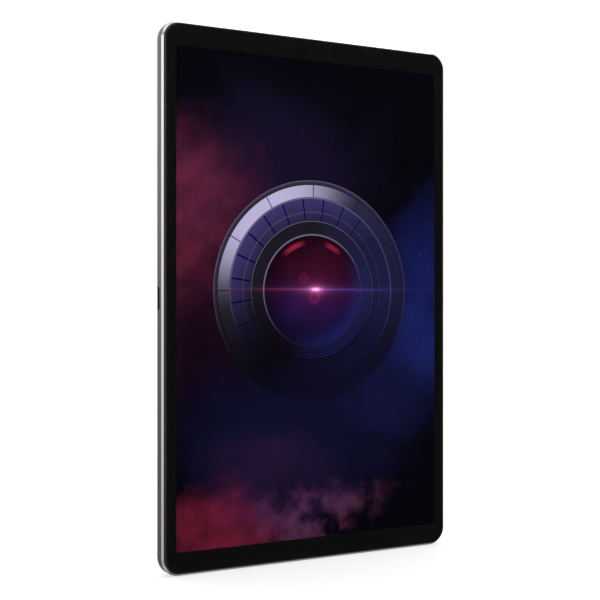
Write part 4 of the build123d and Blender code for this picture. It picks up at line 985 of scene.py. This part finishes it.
class TABLET_OT_card_tray(bpy.types.Operator):
    """Build the sliding card tray"""

    bl_idname = "tablet.card_tray"
    bl_label = "Card tray"

    def execute(self, context):
        low, high, middle = box_middle("card_tray")
        inner_x = high.x - TRAY_HEAD_THICK * MM
        half = (high.z - low.z) / 2

        def head_block(start, end, half_thick, half_long, radius=0.0):
            """Block across the head, between two distances from its inner side."""
            return block(Vector((start, KEY_Y - half_thick * MM, middle.z - half_long)),
                         Vector((end, KEY_Y + half_thick * MM, middle.z + half_long)), 0,
                         radius * MM, 12)

        def sled_block(start, end, front, back, half_long, radius):
            """Block in the sled, between two depths."""
            return block(Vector((start, front, middle.z - half_long * MM)),
                         Vector((end, back, middle.z + half_long * MM)), 1, radius * MM, 4)

        head = head_block(inner_x, high.x, TRAY_HEAD_HALF, half, TRAY_HEAD_HALF - HAIR)
        bevel(head, outline(head, 0, high.x), 0.12 * MM, 2)
        around = head_block(inner_x + 0.4 * MM, inner_x + 0.8 * MM, 1.2, half + MM)
        core = head_block(inner_x + 0.3 * MM, inner_x + 0.9 * MM, 0.8, half - 0.3 * MM, 0.79)
        eject_z = middle.z + half - EJECT_INSET * MM
        eject = rod(EJECT_RADIUS * MM, Vector((inner_x - MM, KEY_Y, eject_z)),
                    Vector((high.x + MM, KEY_Y, eject_z)), 32)
        head = carved(head, [carved(around, [core]), eject])

        front = FRONT_Y + SLED_DEPTH * MM
        sled = sled_block(low.x, inner_x + 0.05 * MM, front, front + SLED_THICK * MM, SLED_HALF, 0.5)
        card_end = inner_x - CARD_STOP * MM
        card_start = card_end - CARD_LENGTH * MM
        pocket = sled_block(card_start, card_end, front - MM, front + CARD_FLOOR * MM, CARD_HALF, 0.8)
        window = sled_block(card_start, card_end - CARD_WINDOW_STOP * MM, front - MM,
                            front + 2 * MM, CARD_WINDOW_HALF, 0.6)
        piece(head, "card_tray_head", "card_tray", ["card_tray"], "key_metal",
              [bpy.data.materials["key_metal"]], 0.02 * MM)
        piece(carved(sled, [pocket, window]), "card_tray_sled", "card_tray", [], "key_metal",
              [moulded("tray_plastic", (0.020, 0.020, 0.022), 0.42)], 0.04 * MM)
        return {"FINISHED"}


# ---------------------------------------------------------------- cameras
ISLAND, ISLAND_FLANGE, ISLAND_FLANGE_THICK = (7.0, 20.0), (8.2, 21.2), 0.4
ISLAND_SLOPE = 0.40
MAIN_WINDOW, MACRO_WINDOW, FLASH_WINDOW = 9.0, 5.6, 4.4         # diameters
WINDOW_LEDGE, WINDOW_GAP, WINDOW_SEAT = 0.6, 0.05, 0.5
WINDOW_BACK, WINDOW_FRONT = 0.02, 0.46                          # below the island's top
MASK_WIDTH = 1.25
FLASH_RINGS = 6


class TABLET_OT_island(bpy.types.Operator):
    """Build the rear camera island, its windows and the flash"""

    bl_idname = "tablet.island"
    bl_label = "Camera island"

    def execute(self, context):
        low, high, middle = box_middle("camera_island")
        x, top = middle.x, high.y
        windows = [(box_middle(node)[2].z, size) for node, size in (
            ("main_camera_housing", MAIN_WINDOW), ("macro_camera", MACRO_WINDOW),
            ("flash_diffuser", FLASH_WINDOW))]
        flange_y = low.y + ISLAND_FLANGE_THICK * MM

        def plate(half, start, end):
            reach = Vector((half[0], 0, half[1])) * MM
            return block(Vector((x, start, middle.z)) - reach, Vector((x, end, middle.z)) + reach, 1,
                         (half[0] - HAIR) * MM, 32)

        def drill(up, radius, start):
            return rod(radius * MM, Vector((x, start, up)), Vector((x, top + MM, up)), 64)

        raised = plate(ISLAND, flange_y, top)
        bevel(raised, outline(raised, 1, top), ISLAND_SLOPE * MM, 1)
        tools = []
        for up, size in windows:
            tools.append(drill(up, size / 2 - WINDOW_LEDGE, low.y - MM))
            tools.append(drill(up, size / 2 + WINDOW_GAP, top - WINDOW_SEAT * MM))
        raised = carved(raised, tools)
        lower = carved(plate(ISLAND_FLANGE, low.y, flange_y),
                       [drill(up, size / 2 - WINDOW_LEDGE, low.y - MM) for up, size in windows])

        def bright_edge(face):
            """Slot 1, the bright cut, for the slope around the top."""
            return int(is_slope(face) and face.calc_center_median().y > top - WINDOW_SEAT * MM)

        metal = anodised("island_metal", shade(context.scene.tablet_colours.metal, 0.86), 0.30)
        piece(merged(raised, lower), "camera_island_plate", BODY, ["camera_island"],
              "island_metal", [metal, bpy.data.materials["bright_rim"]], 0.04 * MM,
              paint=bright_edge)

        discs = []
        masks = []
        back = top - WINDOW_BACK * MM
        front = top - WINDOW_FRONT * MM
        for up, size in windows[:2]:
            place = Vector((x, 0, up))
            radius = size / 2 * MM
            discs.append(turned([(0, front), (radius - 0.02 * MM, front),
                                 (radius, front + 0.03 * MM), (radius, back - 0.08 * MM),
                                 (radius - 0.08 * MM, back), (0, back)], place))
            inner = radius - MASK_WIDTH * MM
            outer = radius - 0.05 * MM
            near = front - 0.035 * MM
            far = front - 0.01 * MM
            masks.append(turned([(inner, near), (outer, near), (outer, far), (inner, far),
                                 (inner, near)], place))
        piece(merged(*discs), "camera_window_discs", BODY, ["camera_windows"], "lens_glass",
              [clear_glass("camera_window_glass")])
        piece(merged(*masks), "camera_window_masks", BODY, [], "lens_glass",
              [moulded("window_mask", (0.004, 0.004, 0.004), 0.25, 0.05)])

        radius = FLASH_WINDOW / 2 * MM
        profile = [(0, front), (radius, front), (radius, top - 0.06 * MM)]
        for number in range(FLASH_RINGS):
            outer = radius * (1 - number / FLASH_RINGS)
            profile.append((outer - 0.04 * MM, top - 0.03 * MM))
            profile.append((outer - radius / FLASH_RINGS + 0.05 * MM, top - 0.12 * MM))
        profile[-1] = (0, top - 0.05 * MM)
        piece(turned(profile, Vector((x, 0, windows[2][0])), steps=48), "flash_ribbed_cover", BODY,
              ["flash_diffuser"], "diffuser", [diffuser_plastic("flash_diffuser")])
        return {"FINISHED"}


def arc(radius, start, tall, first):
    """Points of a quarter ellipse from its foot up to just before its top."""
    angles = [step * math.pi / 16 for step in range(first, 8)]
    return [(radius * math.cos(angle), start + tall * math.sin(angle)) for angle in angles]


class TABLET_OT_lenses(bpy.types.Operator):
    """Build the lenses of the rear and front cameras"""

    bl_idname = "tablet.lenses"
    bl_label = "Lenses"

    def execute(self, context):
        black = moulded("lens_barrel_black", (0.010, 0.010, 0.011), 0.42, 0.1)
        coat = lens_coat("lens_coating", (0.006, 0.004, 0.016))

        def turned_piece(name, body, nodes, slot, finish, middle, profile, housing=None, **more):
            """Round piece from (radius, depth) pairs, with the housing behind it if it has one."""
            form = turned(profile, Vector((middle.x, 0, middle.z)))
            form = merged(housing, form) if housing else form
            piece(form, name, body, nodes, slot, [finish], **more)

        low, high, middle = box_middle("focus_barrel")
        outer, back = (high.x - low.x) / 2, high.y
        turned_piece("focus_barrel_body", "focus_barrel", ["focus_barrel"], "lens_barrel", black,
                     middle, [(0, low.y), (outer, low.y), (outer, back - 0.1 * MM),
                              (outer - 0.1 * MM, back), (outer - 0.5 * MM, back),
                              (outer - 0.6 * MM, back - 0.12 * MM),
                              (outer - 0.85 * MM, back - 0.12 * MM),
                              (outer - 0.9 * MM, back - 0.4 * MM), (0, back - 0.4 * MM)], sharp=20)
        radius = outer - 0.92 * MM
        dome = [(0, back - 0.39 * MM), (radius, back - 0.39 * MM),
                *arc(radius, back - 0.34 * MM, 0.22 * MM, 0), (0, back - 0.12 * MM)]
        turned_piece("focus_barrel_lens", "focus_barrel", [], "lens_barrel", coat, middle, dome)

        low, high, middle = box_middle("macro_camera")
        housing_y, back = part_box("main_camera_housing")[1].y, high.y
        housing = block(low, Vector((high.x, housing_y, high.z)), 1, 0.4 * MM, 3)
        front = housing_y - 0.02 * MM
        barrel = [(0, front), (1.8 * MM, front), (1.8 * MM, back - 0.08 * MM), (1.72 * MM, back),
                  (1.5 * MM, back), (1.35 * MM, back - 0.3 * MM), (0, back - 0.3 * MM)]
        turned_piece("macro_camera_body", BODY, ["macro_camera"], "lens_barrel", black, middle,
                     barrel, housing, sharp=20)
        lens = [(0, back - 0.29 * MM), (1.33 * MM, back - 0.29 * MM), (1.1 * MM, back - 0.17 * MM),
                (0.6 * MM, back - 0.09 * MM), (0, back - 0.07 * MM)]
        turned_piece("macro_camera_lens", BODY, [], "lens_barrel", coat, middle, lens)

        low, high, middle = box_middle("front_camera_lens")
        radius = (high.x - low.x) / 2 - 0.01 * MM
        foot = high.y - 0.08 * MM
        eye = [(0, high.y - 0.01 * MM), (radius, high.y - 0.01 * MM), (radius, foot),
               *arc(radius, foot, low.y - foot, 1), (0, low.y)]
        turned_piece("front_camera_eye", BODY, ["front_camera_lens"], "lens_glass", coat, middle,
                     eye)
        return {"FINISHED"}


# ---------------------------------------------------------------- finishes of the inner pieces
def inner_finishes():
    """Finish of each CAD node that keeps its own shape."""
    groups = (
        (bpy.data.materials["border_print"], "border_film"),
        (grained("display_glass", (0.020, 0.018, 0.024), 0.10, 0.10, 0.2, 0.02),
         "display_panel"),
        (grained("clear_acrylic", (0.80, 0.82, 0.85), 0.12, 0.02, 0.3, 0.02, IOR=1.49,
                 Transmission_Weight=0.8), "light_guide"),
        (grained("smoked_acrylic", (0.026, 0.025, 0.026), 0.35, 0.05, 0.3, 0.02),
         "light_pipe"),
        (stamped("sheet_steel", (0.58, 0.58, 0.59)),
         "backlight_pan key_bracket motor_case motor_cover"),
        (moulded("black_plastic", (0.014, 0.014, 0.015), 0.50),
         "display_carrier main_camera_housing top_speaker_box bottom_speaker_box antenna_carrier"),
        (grained("black_foam", (0.018, 0.018, 0.018), 0.85, 0.35, 3.5, 0.7),
         "display_gasket panel_foam speaker_gaskets"),
        (anodised("frame_metal", (0.52, 0.52, 0.53), 0.42), "support_frame"),
        (stamped("oxide_screw", (0.10, 0.10, 0.105), 0.38), "frame_screws board_screws"),
        (circuit_board("circuit_board", (0.012, 0.040, 0.050)),
         "main_board sub_board camera_boards battery_guard"),
        (stamped("tinned_can", (0.66, 0.65, 0.62), 0.36), "shield_cans microphones"),
        (moulded("chip_mould", (0.022, 0.022, 0.024), 0.55, 0.25), "chips light_sensor"),
        (grained("thermal_pad", (0.30, 0.36, 0.46), 0.75, 0.12, 2.0, 0.3), "thermal_pad"),
        (stamped("bare_copper", (0.80, 0.40, 0.24), 0.34), "vapour_plate"),
        (moulded("connector_plastic", (0.60, 0.55, 0.45), 0.45), "board_connectors"),
        (film_ribbon("ribbon_film"), "board_flexes display_flex key_flex"),
        (foil_pouch("battery_pouch"), "battery_cells"),
        (grained("pull_tape", (0.80, 0.80, 0.78), 0.60, 0.06, 2.5, 0.2), "battery_tapes"),
        (stamped("switch_plate", (0.66, 0.66, 0.67), 0.30), "key_switches"),
        (grained("gasket_rubber", (0.030, 0.030, 0.031), 0.65, 0.10, 4.0, 0.2),
         "tray_gasket"),
        (bpy.data.materials["port_steel"], "card_socket"),
        (grained("led_phosphor", (0.80, 0.62, 0.10), 0.45, 0.08, 4.0, 0.2), "flash_led"),
        (moulded("front_camera_black", (0.020, 0.020, 0.022), 0.38, 0.1), "front_camera"),
        (stamped("driver_plate", (0.45, 0.45, 0.46), 0.34), "speaker_drivers"),
        (woven_mesh("sound_mesh"), "speaker_meshes"),
        (stamped("sintered_tungsten", (0.30, 0.30, 0.31), 0.45), "motor_mass"),
    )
    return {node: finish for finish, nodes in groups for node in nodes.split()}


class TABLET_OT_inner_pieces(bpy.types.Operator):
    """Give every inner piece its own finish"""

    bl_idname = "tablet.inner_pieces"
    bl_label = "Inner pieces"

    def execute(self, context):
        finishes = inner_finishes()
        for name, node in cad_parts.items():
            if node.hide_render:
                continue
            if name not in finishes:
                raise RuntimeError("no finish is listed for " + name)
            node.data.materials.clear()
            node.data.materials.append(finishes[name])
        return {"FINISHED"}


# ---------------------------------------------------------------- stage
# lights: place and aim from the tablet's middle, width, height and radiance
LIGHTS = (
    ("side_light", (-0.496, 0.56, 0.24), (0.0, 0.0, 0.04), 0.55, 0.45, 0.34),
    ("top_light", (0.30, 0.05, 0.80), (0.0, 0.0, 0.0), 0.7, 0.5, 1.2),
)
FLOOR_TONES = (0.50, 0.50, 0.50), (0.52, 0.52, 0.52)
FLOOR_GLOW = 0.58
STUDIO_WHITE = 1.02             # seen by all but mirrors and glass
STUDIO_DIM = 0.009              # least brightness that mirrors and glass see
CARD_HEADING = (-0.87, -0.49)   # the card that the bright edge mirrors


def aim(made, target):
    """Turn a light or the camera towards a point."""
    away = Vector(target) - made.location
    made.rotation_euler = away.to_track_quat("-Z", "Y").to_euler()


def soft_light(name, place, target, width, tall, radiance):
    """Rectangular light of a given brightness per area."""
    light = bpy.data.lights.new(name, "AREA")
    light.shape = "RECTANGLE"
    light.size = width
    light.size_y = tall
    light.energy = radiance * math.pi * width * tall
    made = placed(name, light)
    made.location = place
    aim(made, target)


class TABLET_OT_stage(bpy.types.Operator):
    """Set up the camera, the pale floor and the studio light"""

    bl_idname = "tablet.stage"
    bl_label = "Stage"

    def execute(self, context):
        scene = context.scene
        stage = scene.tablet_stage
        ahead = Vector((math.sin(stage.turn), math.cos(stage.turn), 0))
        right = Vector((ahead.y, -ahead.x, 0))
        front = Vector((0, FRONT_Y, MIDDLE_Z))

        lens = bpy.data.cameras.new("studio_camera")
        lens.lens = stage.focal_length
        lens.sensor_width = 36
        lens.shift_y = stage.rise
        lens.clip_start = 0.01
        lens.clip_end = 50
        camera = placed("studio_camera", lens)
        camera.location = front - ahead * stage.distance - right * stage.sideways
        camera.location.z = MIDDLE_Z + stage.lens_height
        aim(camera, camera.location + ahead)
        scene.camera = camera

        form = bmesh.new()
        bmesh.ops.create_grid(form, x_segments=8, y_segments=8, size=12.0)
        floor = placed("pale_floor", meshed(form, "pale_floor"))
        graph = Graph("pale_floor")
        mottle = graph.noise(graph.place(), 0.002, 2.0)
        floor.data.materials.append(graph.surface(
            Base_Color=graph.blend(mottle, *FLOOR_TONES), Roughness=0.9,
            Emission_Color=opaque((1, 1, 1)), Emission_Strength=FLOOR_GLOW))
        floor.visible_glossy = False
        floor.visible_transmission = False

        world = scene.world or bpy.data.worlds.new("studio")
        scene.world = world
        sky = Graph("studio", world)
        # mirrors and glass see a dim studio; everything else sees an even, nearly white one
        kinds = sky.node("ShaderNodeLightPath").socket.node.outputs
        mirrored = Value(sky, kinds["Is Glossy Ray"])
        through = Value(sky, kinds["Is Transmission Ray"])
        glossy = mirrored.math("MAXIMUM", mirrored, through)
        heading = sky.split(sky.node("ShaderNodeTexCoord", output="Generated"))
        behind = heading[1].rise(-0.15, 0.60)
        before = 1.0 - behind
        upward = heading[2].rise(-0.40, 0.90)
        towards_card = (heading[0] * CARD_HEADING[0]
                        + heading[1] * CARD_HEADING[1]).rise(0.84, 0.96)
        dim = STUDIO_DIM
        for part, brightness in (
                (behind * upward, 0.38), (behind, 0.22),            # backdrop
                (heading[2].rise(-0.45, -0.85), 0.12),              # ground
                (upward, 0.02), (heading[2].rise(0.45, 0.85), 0.80),        # ceiling
                (before * heading[0].rise(-0.05, -0.55), 0.38),     # left wall
                (before * heading[0].rise(0.66, 0.92), 0.34),       # right wall
                (towards_card * heading[2].rise(-0.40, 0.45), 1.0)):        # card beside the rim
            dim = part * brightness + dim
        level = glossy * dim + (1.0 - glossy) * STUDIO_WHITE
        shown = sky.node("ShaderNodeBackground", None,
                         {"Color": sky.tint(level, (1.0, 1.0, 1.0)), "Strength": 1.0})
        sky.tree.links.new(shown.socket, sky.output.inputs["Surface"])
        world.cycles.sampling_method = "NONE"

        middle = Vector((0, 0, MIDDLE_Z))
        for name, place, target, width, tall, radiance in LIGHTS:
            soft_light(name, middle + Vector(place), middle + Vector(target), width, tall, radiance)

        scene.view_settings.view_transform = "Standard"
        scene.view_settings.look = "None"
        return {"FINISHED"}


# ---------------------------------------------------------------- panel and registration
STEPS = (
    TABLET_OT_body,
    TABLET_OT_glass,
    TABLET_OT_screen,
    TABLET_OT_ports,
    TABLET_OT_keys,
    TABLET_OT_card_tray,
    TABLET_OT_island,
    TABLET_OT_lenses,
    TABLET_OT_inner_pieces,
    TABLET_OT_stage,
)


class TABLET_PT_panel(bpy.types.Panel):
    """Settings and steps of the tablet"""

    bl_idname = "TABLET_PT_panel"
    bl_label = "Tablet"
    bl_space_type = "VIEW_3D"
    bl_region_type = "UI"
    bl_category = "Tablet"

    def draw(self, context):
        layout = self.layout
        for settings in (context.scene.tablet_shell, context.scene.tablet_colours,
                         context.scene.tablet_stage):
            box = layout.box()
            for name in settings.bl_rna.properties.keys():
                if name not in ("rna_type", "name"):
                    box.prop(settings, name)
        for step in STEPS:
            layout.operator(step.bl_idname)


SETTINGS = (
    ("tablet_shell", TabletShellSettings),
    ("tablet_colours", TabletColourSettings),
    ("tablet_stage", TabletStageSettings),
)


def register():
    for name, group in SETTINGS:
        bpy.utils.register_class(group)
        setattr(bpy.types.Scene, name, bpy.props.PointerProperty(type=group))
    for step in STEPS:
        bpy.utils.register_class(step)
    bpy.utils.register_class(TABLET_PT_panel)


def unregister():
    bpy.utils.unregister_class(TABLET_PT_panel)
    for step in reversed(STEPS):
        bpy.utils.unregister_class(step)
    for name, group in reversed(SETTINGS):
        delattr(bpy.types.Scene, name)
        bpy.utils.unregister_class(group)


def main():
    register()
    for step in STEPS:
        getattr(bpy.ops.tablet, step.bl_idname.partition(".")[2])()
    bpy.context.view_layer.update()


if __name__ == "__main__":
    main()
